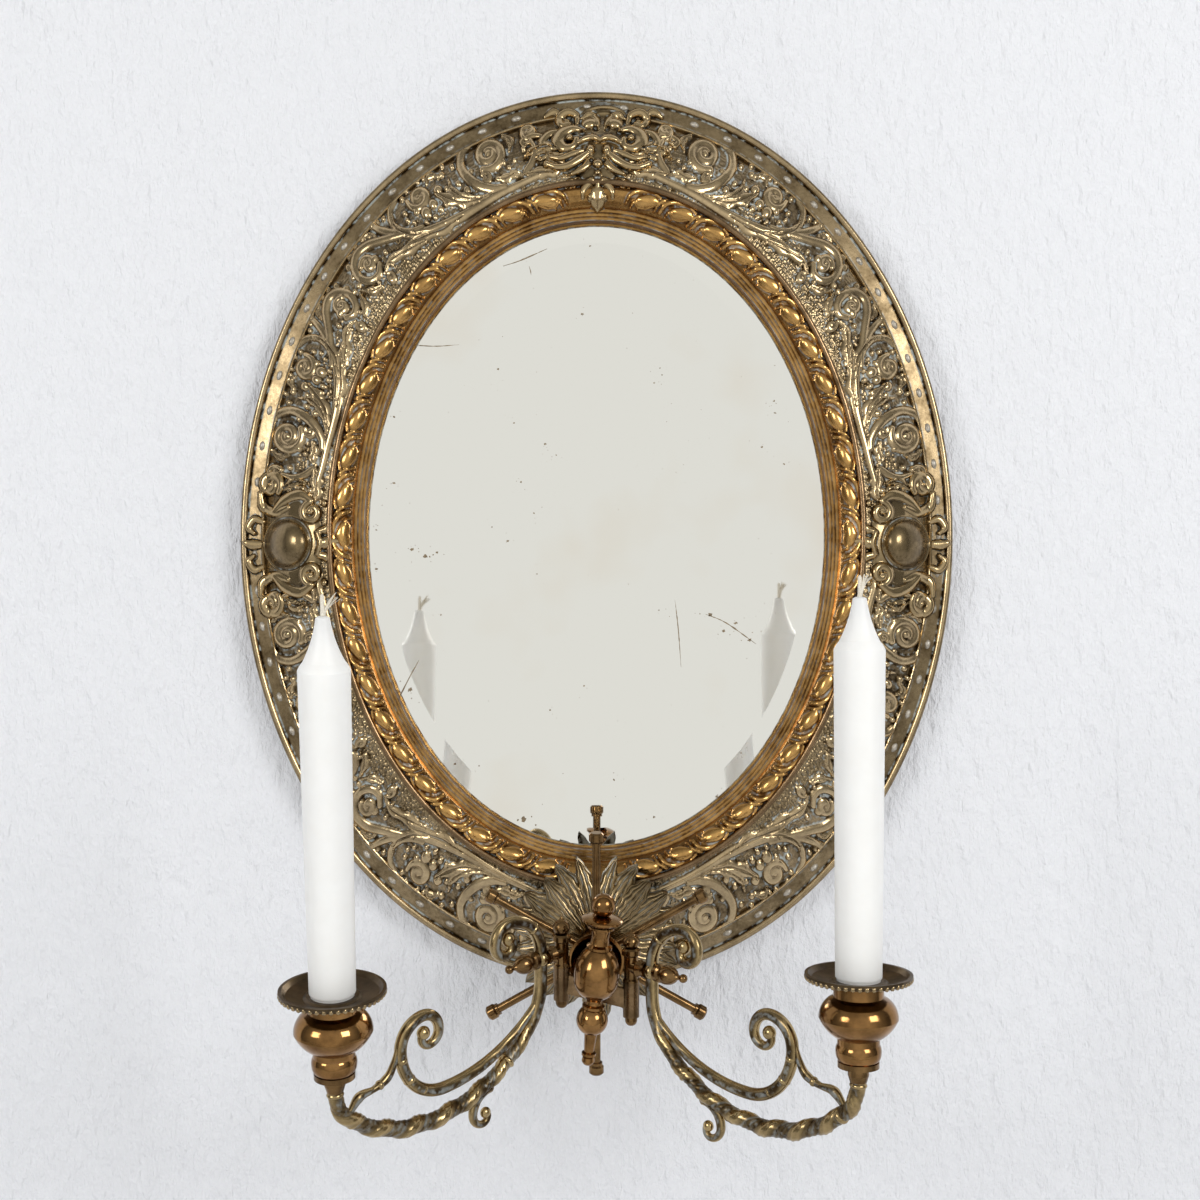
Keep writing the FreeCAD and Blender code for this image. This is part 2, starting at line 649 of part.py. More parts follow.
# The half pattern of the band as (along, across): along is a share of a quarter of the
# oval from its end, across a share of the band from its outer line to the ridge.
FOLD, FOLD_SHARE = 0.5315, 0.87     # the pattern turns back here, a little smaller
STEMS = (
    ((0.115, 0.85), (0.223, 0.91), (0.337, 0.82), 1.0),
    ((0.337, 0.82), (0.401, 0.50), (0.431, 0.03), 1.0),
    ((0.223, 0.00), (0.248, 0.24), (0.208, 0.80), 1.2),
    ((0.312, 0.34), (0.265, 0.74), (0.212, 0.88), 1.5),
)
SCROLLS = ((0.195, 0.26, big_scroll_radius), (0.339, 0.25, flower_radius))
BERRIES = ((0.343, 0.53, 1.0), (0.471, 0.34, 1.3), (0.131, 0.20, 1.2))
CUT_FACE = 0.001     # a face this thin seen from the front or above is where quarters meet
GADROONS = 11
GADROON_START, GADROON_PITCH = 0.098, 0.0808


def turn_at(along):
    """The oval's own angle from its end, at a share of a quarter's length."""
    angles = [math.pi / 2 * step / 90 for step in range(91)]
    middle = sight_inset.value / 2
    half_width = outer_half_width.value - middle
    half_height = outer_half_height.value - middle * end_gain.value
    lengths = [0.0]
    for low, high in zip(angles, angles[1:]):
        lengths.append(lengths[-1] + math.hypot(
            half_width * (math.sin(high) - math.sin(low)),
            half_height * (math.cos(high) - math.cos(low))))
    reach = min(max(along, 0.0), 1.0) * lengths[-1]
    step = max(number for number, length in enumerate(lengths[:-1]) if length <= reach)
    share = (reach - lengths[step]) / (lengths[step + 1] - lengths[step])
    return angles[step] + (angles[step + 1] - angles[step]) * share


def on_oval(along, inset):
    """A point of the upper right quarter, seen from the room."""
    angle = turn_at(along)
    return Vector((outer_half_width - inset).value * math.sin(angle), 0,
                  (outer_half_height - inset * end_gain).value * math.cos(angle))


def on_band(along, across):
    return on_oval(along, band_start + scroll_band_width * across)


def towards_room(outline):
    """A column towards the room on a closed outline."""
    face = Part.Face(Part.Wire(Part.__sortEdges__(outline)))
    return face.extrude(Vector(0, -BEYOND, 0))


def bar(start, middle, end, width):
    """A bent bar of even width through three points."""
    line = Part.Arc(start, middle, end).toShape().Curve
    sides = []
    for radius in (line.Radius - width / 2, line.Radius + width / 2):
        gain = radius / line.Radius
        sides.append([line.Center + (spot - line.Center) * gain
                      for spot in (start, middle, end)])
    inner, outer = sides
    return towards_room([Part.Arc(*inner).toShape(), Part.Arc(*outer).toShape(),
                         Part.LineSegment(inner[0], outer[0]).toShape(),
                         Part.LineSegment(inner[2], outer[2]).toShape()])


def button(centre, radius):
    return Part.makeCylinder(radius, BEYOND, centre, Vector(0, -1, 0))


def band_scroll(centre, radius, out, hand):
    """Two half rings that wind in to a round eye; out points away from the opening."""
    side = Vector(out.z, 0, -out.x) * hand
    eye_radius = radius * 0.6
    eye = centre - out * (radius - eye_radius)
    width = stem_width.value
    return [bar(centre + out * radius, centre + side * radius, centre - out * radius, width),
            bar(centre - out * radius, eye - side * eye_radius, eye + out * eye_radius, width),
            button(eye, eye_radius * 0.45)]


def band_columns():
    """The half pattern and its folded copy, as columns towards the room."""
    columns = []
    for fold in (False, True):
        def placed(along, across):
            return on_band(FOLD + (FOLD - along) * FOLD_SHARE if fold else along, across)

        gain = FOLD_SHARE if fold else 1.0
        for start, middle, end, share in STEMS:
            width = (stem_width * share * gain).value
            columns.append(bar(placed(*start), placed(*middle), placed(*end), width))
        for along, across, radius in SCROLLS:
            centre = placed(along, across)
            out = (placed(along, across - 0.1) - centre).normalize()
            columns += band_scroll(centre, radius.value * gain, out, -1 if fold else 1)
        for along, across, share in BERRIES:
            columns.append(button(placed(along, across), (berry_radius * share * gain).value))
    return columns


def gadroon_columns():
    """Slanted lobes along the gadroon band, and a button where the quarters meet."""
    def placed(along, across):
        return on_oval(along, gadroon_start + gadroon_width * across)

    columns = [button(placed(1.0, 0.35), lobe_width.value)]
    for number in range(GADROONS):
        along = GADROON_START + GADROON_PITCH * number
        columns.append(bar(placed(along + 0.030, 0.22), placed(along - 0.004, 0.20),
                           placed(along - 0.030, 0.78), lobe_width.value))
    return columns


def relief(name, columns, stations, height):
    """Columns towards the room, cut off just above the brass."""
    above = [(stations[0][0], 0.0)] + [(inset, depth + height) for inset, depth in stations]
    outline = doc.addObject("Part::Feature", name + "_outline")
    outline.Shape = columns[0].multiFuse(columns[1:])
    return common(name, outline, oval_loft(name + "_above", above))


def four_quarters(name, quarter):
    """A quarter of the frame and its mirror images, sewn edge to edge."""
    doc.recompute()
    quarters = [quarter.Shape]
    for normal in (Vector(1, 0, 0), Vector(0, 0, 1)):
        quarters += [shape.mirror(Vector(), normal) for shape in quarters]
    faces = []
    for shape in quarters:
        faces += [face for face in shape.Faces
                  if min(face.BoundBox.XLength, face.BoundBox.ZLength) > CUT_FACE]
    skin = Part.makeCompound(faces)
    skin.sewShape()
    whole = doc.addObject("Part::Feature", name + "_whole")
    whole.Shape = Part.makeSolid(skin.Shells[0])
    return whole


def band_stations():
    """The slope of the scroll band."""
    stations = [(band_start, bead_top)]
    for across, up in SCROLL_SLOPE:
        stations.append((band_start + scroll_band_width * across,
                         bead_top + scroll_band_rise * up))
    return stations + [(seat_start, seat_depth)]


def gadroon_stations():
    """The roll of the gadroon band."""
    stations = [(gadroon_start, seat_depth)]
    for across, up in GADROON_ROLL:
        stations.append((gadroon_start + gadroon_width * across,
                         seat_depth + gadroon_height * up))
    return stations


def make_frame():
    brass = oval_loft("brass_face", front_stations())
    form = oval_loft("wood_form", wood_stations())
    under = oval_loft("brass_under", [(sheet_gauge, 0.0)] + wood_stations()[1:])
    lip = oval_plug("lip_room", sight_inset - sheet_gauge, rabbet_depth, BEYOND)
    sight = oval_plug("sight_opening", sight_inset, -1.0, BEYOND)
    corner = box("first_quarter", outer_half_width * 2, BEYOND, outer_half_height * 2,
                 at(outer_half_width, -BEYOND, outer_half_height))
    scrolls = relief("scrolls", band_columns(), band_stations(), relief_height)
    gadroons = relief("gadroons", gadroon_columns(), gadroon_stations(), lobe_height)
    embossed = fuse("embossed_quarter", common("brass_quarter", brass, corner),
                    common("scrolls_quarter", scrolls, corner),
                    common("gadroons_quarter", gadroons, corner))
    embossed.Refine = False
    shell = cut("brass_shell", embossed, cut("under_lip", under, lip), sight)
    ridge_line = oval_plug("ridge_line", ridge_inset, -1.0, BEYOND)
    stud_hole = cylinder("stud_hole", stud_radius + fit_gap, BEYOND, hub(-BEYOND))
    cover = four_quarters("cover", cut("cover_quarter", shell, ridge_line))
    keep(cut("embossed_cover", cover, stud_hole), "embossed_cover")
    keep(four_quarters("slip", common("slip_quarter", shell, ridge_line)), "sight_slip")

    spine = oval("ridge_spine", ridge_inset, seat_depth + ridge_wire_radius)
    section = doc.addObject("Part::Circle", "ridge_section")
    bind(section, "Radius", ridge_wire_radius)
    section.Placement = at(0, -(seat_depth + ridge_wire_radius),
                           ridge_inset * end_gain - outer_half_height, turn_y(90))
    wire = doc.addObject("Part::Sweep", "ridge_wire")
    wire.Sections = [section]
    wire.Spine = (spine, ["Edge1"])
    wire.Solid = True
    keep(wire, "ridge_wire")
    channel_half = ridge_wire_radius + face_gap
    channel_top = seat_depth + ridge_wire_radius * 2 + face_gap
    wire_channel = cut("wire_channel",
                       oval_plug("channel_outside", ridge_inset - channel_half, 0.0, channel_top),
                       oval_plug("channel_inside", ridge_inset + channel_half, -1.0, BEYOND))

    glass_room = oval_plug("glass_room", rebate_inset, -1.0, rabbet_depth)
    wood_sight = oval_plug("wood_sight", sight_inset - sheet_gauge, -1.0, BEYOND)
    nut_room = cylinder("nut_room", washer_radius + fit_gap, BEYOND, hub(washer_seat - BEYOND))
    back_screws = make_back_screws()
    make_hanger(back_screws)
    pocket = cylinder("hanger_pocket", hanger_pocket_radius, hanger_pocket_depth + 1,
                      at(0, 1 - back_thickness, hanger_centre, FORWARD))
    keep(cut("wood_frame", form, glass_room, wood_sight, stud_hole, nut_room,
             back_screws, pocket), "wood_frame")

    board = oval_plug("back_board_blank", back_inset, 0.0, back_thickness)
    board_top = hanger_centre - hanger_height / 2 - hanger_board_gap
    above = box("above_board", outer_half_width * 2, BEYOND, outer_half_height,
                at(0, -BEYOND / 2, board_top + outer_half_height / 2))
    keep(cut("back_board", board, above, back_screws), "back_board")
    seat = oval_loft("casting_seat", [(0.0, -1.0)] + front_stations()[1:])
    return seat, wire_channel


def make_glass():
    glass_back = glass_depth - glass_thickness
    keep(oval_loft("mirror_glass", [
        (rebate_inset + fit_gap, glass_back),
        (rebate_inset + fit_gap, glass_back + glass_edge),
        (rebate_inset + fit_gap + bevel_width, glass_depth),
    ]), "mirror_glass")
    keep(oval_plug("packing_board", rebate_inset + fit_gap,
                   glass_back - packing_thickness, glass_back), "packing_board")
    blocks = []
    block_height = glass_back - packing_thickness - back_thickness
    for x, z, angle in around_oval(rebate_inset + block_width / 2 + block_gap, GLUE_BLOCKS):
        square = math.atan2(z * (outer_half_width.value / outer_half_height.value) ** 2, x)
        place = at(x, -(back_thickness + block_height), z, turn_y(90 - math.degrees(square)))
        blocks.append(box(f"glue_block{len(blocks)}", block_length, block_height,
                          block_width, place))
    group = doc.addObject("Part::Compound", "glue_blocks")
    group.Links = blocks
    keep(group, "glue_blocks")


# ---------------------------------------------------------------- applied castings
def raised_form():
    """The moulding's general slope, lifted by the relief of the castings."""
    stations = []
    for inset, depth in wood_stations()[2:]:
        stations.append((inset, as_size(depth) + sheet_gauge + ornament_gauge))
    return oval_loft("raised_form", [(rim_width * 0.5, 0.0)] + stations)


def lobe(name, x, z, radius):
    """A round column towards the room: one lobe of an outline."""
    return cylinder(name, radius, BEYOND, at(x, 0, z, FORWARD))


def dome(name, x, z, radius, depth, height):
    """A round column towards the room with a domed end."""
    radius = as_size(radius)
    bow = (radius * radius + height * height) / (as_size(height) * 2)
    return turned(name, [
        (0.0, 0.0),
        (radius, 0.0),
        (radius, depth, bow),
        (0.0, depth + height),
    ], at(x, 0, z, FORWARD))


def band_depth(inset):
    """Depth of the scroll band's face at an inset."""
    share = (inset.value - band_start.value) / scroll_band_width.value
    stops = ((0.0, 0.0),) + SCROLL_SLOPE + ((1.0, 1.0),)
    for (low, low_rise), (high, high_rise) in zip(stops, stops[1:]):
        if share <= high:
            rise = low_rise + (high_rise - low_rise) * (share - low) / (high - low)
            return bead_top + scroll_band_rise * rise
    return seat_depth


def make_crest(seat, channel, raised):
    """Foliate crest: brow and cheek lobes, side buds and a trefoil foot."""
    lobes = [lobe("crest_brow", 0, crest_height + crest_lobe * 0.9, crest_lobe)]
    for sign in (-1, 1):
        name = f"crest_side{sign + 1}_"
        lobes.append(lobe(name + "cheek", crest_lobe * 0.75 * sign, crest_height, crest_lobe))
        lobes.append(lobe(name + "bud", crest_reach * sign, crest_height + crest_lobe * 0.9,
                          crest_lobe * 0.34))
        lobes.append(lobe(name + "leaf", crest_reach * 0.78 * sign,
                          crest_height + crest_lobe * 0.35, crest_lobe * 0.5))
        lobes.append(lobe(name + "ear", crest_reach * 0.62 * sign,
                          crest_height + crest_lobe * 1.35, crest_lobe * 0.45))
        lobes.append(lobe(name + "foot", crest_lobe * 0.5 * sign,
                          crest_height - crest_lobe * 1.6, crest_lobe * 0.4))
    lobes.append(lobe("crest_tongue", 0, crest_height - crest_lobe * 1.1, crest_lobe * 0.75))
    lobes.append(lobe("crest_tip", 0, crest_height - crest_lobe * 2.15, crest_lobe * 0.36))
    plate = common("crest_plate", fuse("crest_outline", *lobes), raised)
    depth = band_depth((outer_half_height - crest_height) / end_gain)
    domes = [dome("crest_nose", 0, crest_height - crest_lobe * 0.3, crest_lobe * 0.3,
                  depth + ornament_gauge, crest_lobe * 0.28)]
    for sign in (-1, 1):
        name = f"crest_side{sign + 1}_"
        domes.append(dome(name + "puff", crest_lobe * 0.62 * sign,
                          crest_height + crest_lobe * 1.0, crest_lobe * 0.44,
                          depth - ornament_gauge * 0.2, crest_lobe * 0.3))
        domes.append(dome(name + "round", crest_lobe * 0.72 * sign,
                          crest_height + crest_lobe * 0.05, crest_lobe * 0.4,
                          depth + ornament_gauge * 0.6, crest_lobe * 0.3))
    solid = fuse("crest_casting", plate, *domes)
    keep(cut("crest", solid, channel, seat), "crest")


def make_side_boss(name, sign, seat, channel, raised):
    """Smooth ringed dome with scrolls above and below and a trefoil each way."""
    middle = boss_reach * sign
    outward = scroll_ear_offset
    lobes = [lobe(name + "_disc", middle, boss_height, boss_radius + ornament_gauge)]
    for up in (-1, 1):
        tag = f"{name}_end{up + 1}_"
        lobes.append(lobe(tag + "ear", middle + sign * scroll_ear_radius * 0.5,
                          boss_height + outward * up, scroll_ear_radius))
        lobes.append(lobe(tag + "curl", middle - sign * scroll_ear_radius * 1.4,
                          boss_height + outward * 0.82 * up, scroll_ear_radius * 0.72))
    for step, up in ((1.0, 0), (0.72, -1), (0.72, 1)):
        for away in (-1, 1):
            lobes.append(lobe(f"{name}_trefoil{up + 1}{away + 1}",
                              middle + sign * away * outward * (0.95 * step + 0.08),
                              boss_height + scroll_ear_radius * 0.62 * up,
                              scroll_ear_radius * 0.5))
    plate = common(name + "_plate", fuse(name + "_outline", *lobes), raised)
    depth = band_depth(outer_half_width - boss_reach) + ornament_gauge
    ring = cylinder(name + "_ring", boss_radius, depth + ornament_gauge * 0.3,
                    at(middle, 0, boss_height, FORWARD))
    cap = dome(name + "_dome", middle, boss_height, boss_radius - boss_ring, depth,
               boss_dome_height)
    solid = fuse(name + "_casting", plate, ring, cap)
    keep(cut(name, solid, channel, seat), name)


# ---------------------------------------------------------------- the hub
LEAVES = 12
SPOKES = ("top", "upper_right", "lower_right", "bottom", "lower_left", "upper_left")


def make_rosette():
    """Twelve pointed leaves round a disc, dished back towards their tips."""
    body = doc.addObject("PartDesign::Body", "rosette_leaves")
    plane = [f for f in body.Origin.OriginFeatures if f.Role == "XY_Plane"][0]
    disc = body.newObject("Sketcher::SketchObject", "rosette_disc")
    disc.AttachmentSupport = [(plane, "")]
    disc.MapMode = "FlatFace"
    disc.addGeometry(Part.Circle(Vector(), Vector(0, 0, 1), rosette_radius.value / 2), False)
    disc.addConstraint(Sketcher.Constraint("Coincident", 0, 3, -1, 1))
    disc.addConstraint(Sketcher.Constraint("Radius", 0, rosette_radius.value / 2))
    disc.setExpression("Constraints[1]", (rosette_radius / 2).text)
    disc_pad = body.newObject("PartDesign::Pad", "rosette_disc_pad")
    disc_pad.Profile = disc
    leaf = body.newObject("Sketcher::SketchObject", "rosette_leaf")
    leaf.AttachmentSupport = [(plane, "")]
    leaf.MapMode = "FlatFace"
    foot = Vector(0, 0, 0)
    tip = Vector(0, rosette_radius.value, 0)
    half = rosette_radius / 2
    bow = (half * half + leaf_half_width * leaf_half_width) / (leaf_half_width * 2)
    leaf.addGeometry(arc_between(foot, tip, bow.value), False)
    leaf.addGeometry(arc_between(tip, foot, bow.value), False)
    leaf.addConstraint(Sketcher.Constraint("Coincident", 0, 1, -1, 1))
    leaf.addConstraint(Sketcher.Constraint("Coincident", 1, 2, -1, 1))
    leaf.addConstraint(Sketcher.Constraint("Coincident", 0, 2, 1, 1))
    leaf.addConstraint(Sketcher.Constraint("PointOnObject", 0, 2, -2))
    measure(leaf, 0, 2, "DistanceY", rosette_radius, -1)
    for edge in (0, 1):
        number = leaf.addConstraint(Sketcher.Constraint("Radius", edge, bow.value))
        leaf.setExpression(f"Constraints[{number}]", bow.text)
    leaf_pad = body.newObject("PartDesign::Pad", "rosette_leaf_pad")
    leaf_pad.Profile = leaf
    room = rosette_dish + rosette_gauge * 2
    for pad in (disc_pad, leaf_pad):
        bind(pad, "Length", room)
    pattern = body.newObject("PartDesign::PolarPattern", "rosette_round")
    pattern.Originals = [leaf_pad]
    pattern.Axis = (leaf, ["N_Axis"])
    pattern.Angle = 360
    pattern.Occurrences = LEAVES
    body.Tip = pattern
    body.Placement = hub(rosette_face - room)
    bore = stud_radius + stud_clearance
    rise = rosette_dish / 3
    dish = turned("rosette_form", [
        (bore, rosette_dish),
        (collar_radius, rosette_dish),
        (rosette_radius * 0.62, rosette_dish - rise * 0.5),
        (rosette_radius + 1, 0.0),
        (rosette_radius + 1, rosette_gauge),
        (rosette_radius * 0.62, rosette_dish + rosette_gauge - rise * 0.5),
        (collar_radius, rosette_dish + rosette_gauge),
        (bore, rosette_dish + rosette_gauge),
    ], hub(rosette_face - rosette_dish - rosette_gauge))
    keep(common("rosette", body, dish), "rosette")


def make_hub(seat):
    bore = stud_radius + stud_clearance
    blank = cylinder("collar_blank", collar_radius, BEYOND / 2,
                     hub(rosette_face - rosette_gauge - BEYOND / 2))
    hole = cylinder("collar_hole", bore, BEYOND, hub(-BEYOND))
    keep(cut("distance_collar", blank, hole, seat), "distance_collar")

    keep(turned("hub_spacer", [
        (bore, 0.0), (hub_radius, 0.0), (hub_radius * 0.8, rosette_back - hub_thickness / 2),
        (bore, rosette_back - hub_thickness / 2),
    ], hub(rosette_face)), "hub_spacer")

    core = cylinder("spoke_hub_blank", hub_radius, hub_thickness, hub(-hub_thickness / 2))
    drills = []
    for number, tag in enumerate(SPOKES):
        turn = turn_z(-60.0 * number).multiply(turn_x(-90))
        place = hub(0, 0, 0, turn)
        root = hub_radius * 0.55
        tube = spoke_reach - root - spoke_knob_length / 2
        spoke = turned(f"spoke_{tag}", [
            (0.0, 0.0),
            (spoke_radius, 0.0),
            (spoke_radius, tube - spoke_ring),
            (spoke_radius + edge_round, tube - spoke_ring),
            (spoke_radius + edge_round, tube),
            (spoke_knob_radius - edge_round, tube),
            (spoke_knob_radius, tube + edge_round),
            (spoke_knob_radius, tube + spoke_knob_length - edge_round),
            (spoke_knob_radius - edge_round, tube + spoke_knob_length),
            (0.0, tube + spoke_knob_length),
        ], place.multiply(at(0, 0, root)))
        keep(spoke, f"spoke_{tag}")
        drills.append(cylinder(f"spoke_drill{number}", spoke_radius, BEYOND,
                               place.multiply(at(0, 0, root))))
    stud_hole = cylinder("hub_hole", bore, BEYOND, hub(-BEYOND / 2))
    keep(cut("spoke_hub", core, stud_hole, *drills), "spoke_hub")

    keep(turned("bell", [
        (bore, 0.0),
        (bell_radius * 0.55, 0.0, bell_radius * 0.75),
        (bell_radius, bell_height * 0.8),
        (bell_radius, bell_height),
        (bell_radius - bell_wall, bell_height, -bell_radius),
        (bell_radius * 0.5, bell_height - bell_wall * 2.2),
        (hub_radius * 0.6, bell_height + fit_gap),
        (bore, bell_height + fit_gap),
    ], hub(hub_thickness / 2)), "bell")


def make_yoke():
    """Disc on the stud and a forged bar to the two fixed hinge barrels."""
    disc = cylinder("yoke_disc", hub_radius, yoke_thickness, hub(yoke_back))
    barrels = []
    bores = [cylinder("yoke_hole", stud_radius + stud_clearance, BEYOND, hub(0))]
    middles = []
    for side in SIDES:
        top = -(sleeve_below + face_gap)
        foot = side.place(0, top - barrel_length)
        barrels.append(cylinder(side.name + "_barrel", barrel_radius, barrel_length, foot))
        bores.append(cylinder(side.name + "_barrel_hole", pin_radius, BEYOND,
                              side.place(0, -BEYOND / 2)))
        middles.append(side.place(0, top - barrel_length / 2).Base)
    way = middles[1].sub(middles[0])
    centre = middles[0].add(middles[1]).multiply(0.5)
    turn = Rotation(Vector(1, 0, 0), way)
    bar = doc.addObject("Part::Box", "yoke_bar")
    bind(bar, "Width", yoke_thickness)
    bind(bar, "Height", yoke_height)
    bar.Length = way.Length
    corner = Vector(-way.Length / 2, -yoke_thickness.value / 2, -yoke_height.value / 2)
    bar.Placement = Placement(centre, turn).multiply(Placement(corner, Rotation()))
    stand = hub(yoke_back).Base
    drop = stand.z - centre.z
    web = box("yoke_web", hub_radius * 1.2, yoke_thickness, drop,
              hub(yoke_back + yoke_thickness, 0, -drop / 2, turn_x(-90)))
    solid = fuse("yoke_casting", disc, bar, web, *barrels)
    keep(cut("hinge_yoke", solid, *bores), "hinge_yoke")


def make_stud():
    tip = spindle_reach - bulb_radius + stud_in_bulb
    tail = washer_seat - washer_thickness - nut_thickness - stud_tail
    keep(cylinder("stud", stud_radius, tip - tail, hub(tail)), "stud")
    washer = cylinder("washer_blank", washer_radius, washer_thickness,
                      hub(washer_seat - washer_thickness))
    hole = cylinder("washer_hole", stud_radius + stud_clearance, BEYOND, hub(-BEYOND))
    keep(cut("stud_washer", washer, hole), "stud_washer")
    nut = doc.addObject("Part::Box", "nut_blank")
    bind(nut, "Length", nut_half_width * 2)
    bind(nut, "Width", nut_half_width * 2)
    bind(nut, "Height", nut_thickness)
    nut.Placement = hub(washer_seat - washer_thickness - nut_thickness,
                        -nut_half_width, -nut_half_width)
    thread = cylinder("nut_thread", stud_radius, BEYOND, hub(-BEYOND))
    keep(cut("stud_nut", nut, thread), "stud_nut")


def bulb_outline(inner):
    """Half the section of the large bulb, from an inner radius."""
    return [
        (inner, 0.0),
        (neck_radius, 0.0, bulb_radius * 0.93),
        (bulb_radius, bulb_below, bulb_radius * 1.6),
        (neck_radius * 1.15, bulb_below + bulb_above),
        (inner, bulb_below + bulb_above),
    ]


def make_spindle():
    bore = core_radius
    bulb = turned("bulb_turning", bulb_outline(bore), spindle(-bulb_below))
    tapped = cylinder("bulb_thread", stud_radius, stud_in_bulb + bulb_radius,
                      hub(spindle_reach - bulb_radius * 2))
    keep(cut("spindle_bulb", bulb, tapped), "spindle_bulb")
    blank = cylinder("sleeve_blank", stud_radius + sleeve_wall, spindle_reach - yoke_front,
                     hub(yoke_front))
    hole = cylinder("sleeve_hole", stud_radius + stud_clearance, BEYOND, hub(0))
    filled = turned("bulb_room", bulb_outline(0.0), spindle(-bulb_below))
    keep(cut("stud_sleeve", blank, hole, filled), "stud_sleeve")

    level = bulb_above
    keep(turned("spindle_neck", [
        (bore, 0.0),
        (neck_radius * 1.3, 0.0),
        (neck_radius * 1.3, 1.2),
        (neck_radius, 2.2, -upper_neck_height),
        (neck_radius * 1.1, upper_neck_height - 1.0),
        (neck_radius * 1.35, upper_neck_height - 1.0),
        (neck_radius * 1.35, upper_neck_height),
        (bore, upper_neck_height),
    ], spindle(level)), "spindle_neck")
    level = level + upper_neck_height
    keep(turned("saucer", [
        (bore, 0.0),
        (neck_radius, 0.0, saucer_radius * 1.2),
        (saucer_radius, saucer_height * 0.5),
        (saucer_radius, saucer_height * 0.7, saucer_radius * 1.6),
        (neck_radius * 0.8, saucer_height),
        (bore, saucer_height),
    ], spindle(level)), "saucer")
    level = level + saucer_height
    seat = ball_radius * 0.45
    rise = ball_radius * 0.893
    keep(turned("ball_finial", [
        (bore, 0.0),
        (seat, 0.0, ball_radius),
        (ball_radius, rise, ball_radius),
        (0.0, rise + ball_radius),
        (0.0, rise),
        (bore, rise),
    ], spindle(level)), "ball_finial")
    core_top = level + rise

    level = -bulb_below - lower_neck_height
    keep(turned("lower_neck", [
        (bore, 0.0),
        (neck_radius * 1.15, 0.0),
        (neck_radius * 1.15, 1.2),
        (neck_radius - neck_waist, 2.0, -lower_neck_height),
        (neck_radius - neck_waist, lower_neck_height - 1.0),
        (neck_radius, lower_neck_height),
        (bore, lower_neck_height),
    ], spindle(level)), "lower_neck")
    cap = lower_ball_radius * 0.6
    reach = lower_ball_radius * 0.8
    level = level - reach * 2
    keep(turned("lower_ball", [
        (bore, 0.0),
        (cap, 0.0, lower_ball_radius),
        (lower_ball_radius, reach, lower_ball_radius),
        (cap, reach * 2),
        (bore, reach * 2),
    ], spindle(level)), "lower_ball")
    level = level - pendant_length
    keep(turned("pendant_tube", [
        (bore, 0.0),
        (pendant_radius - pendant_taper, 0.0),
        (pendant_radius, pendant_length),
        (bore, pendant_length),
    ], spindle(level)), "pendant_tube")
    knob = end_knob_radius * 1.9
    keep(turned("end_knob", [
        (0.0, 0.0),
        (end_knob_radius * 0.6, 0.0, end_knob_radius * 1.2),
        (end_knob_radius, knob * 0.3),
        (end_knob_radius * 0.9, knob * 0.62),
        (end_knob_radius * 0.75, knob * 0.7),
        (end_knob_radius * 1.1, knob * 0.8),
        (end_knob_radius * 1.1, knob),
        (bore, knob),
        (bore, knob * 0.5),
        (0.0, knob * 0.5),
    ], spindle(level - knob)), "end_knob")
    core_foot = level - knob * 0.5
    keep(cylinder("spindle_core", core_radius, core_top - core_foot, spindle(core_foot)),
         "spindle_core")


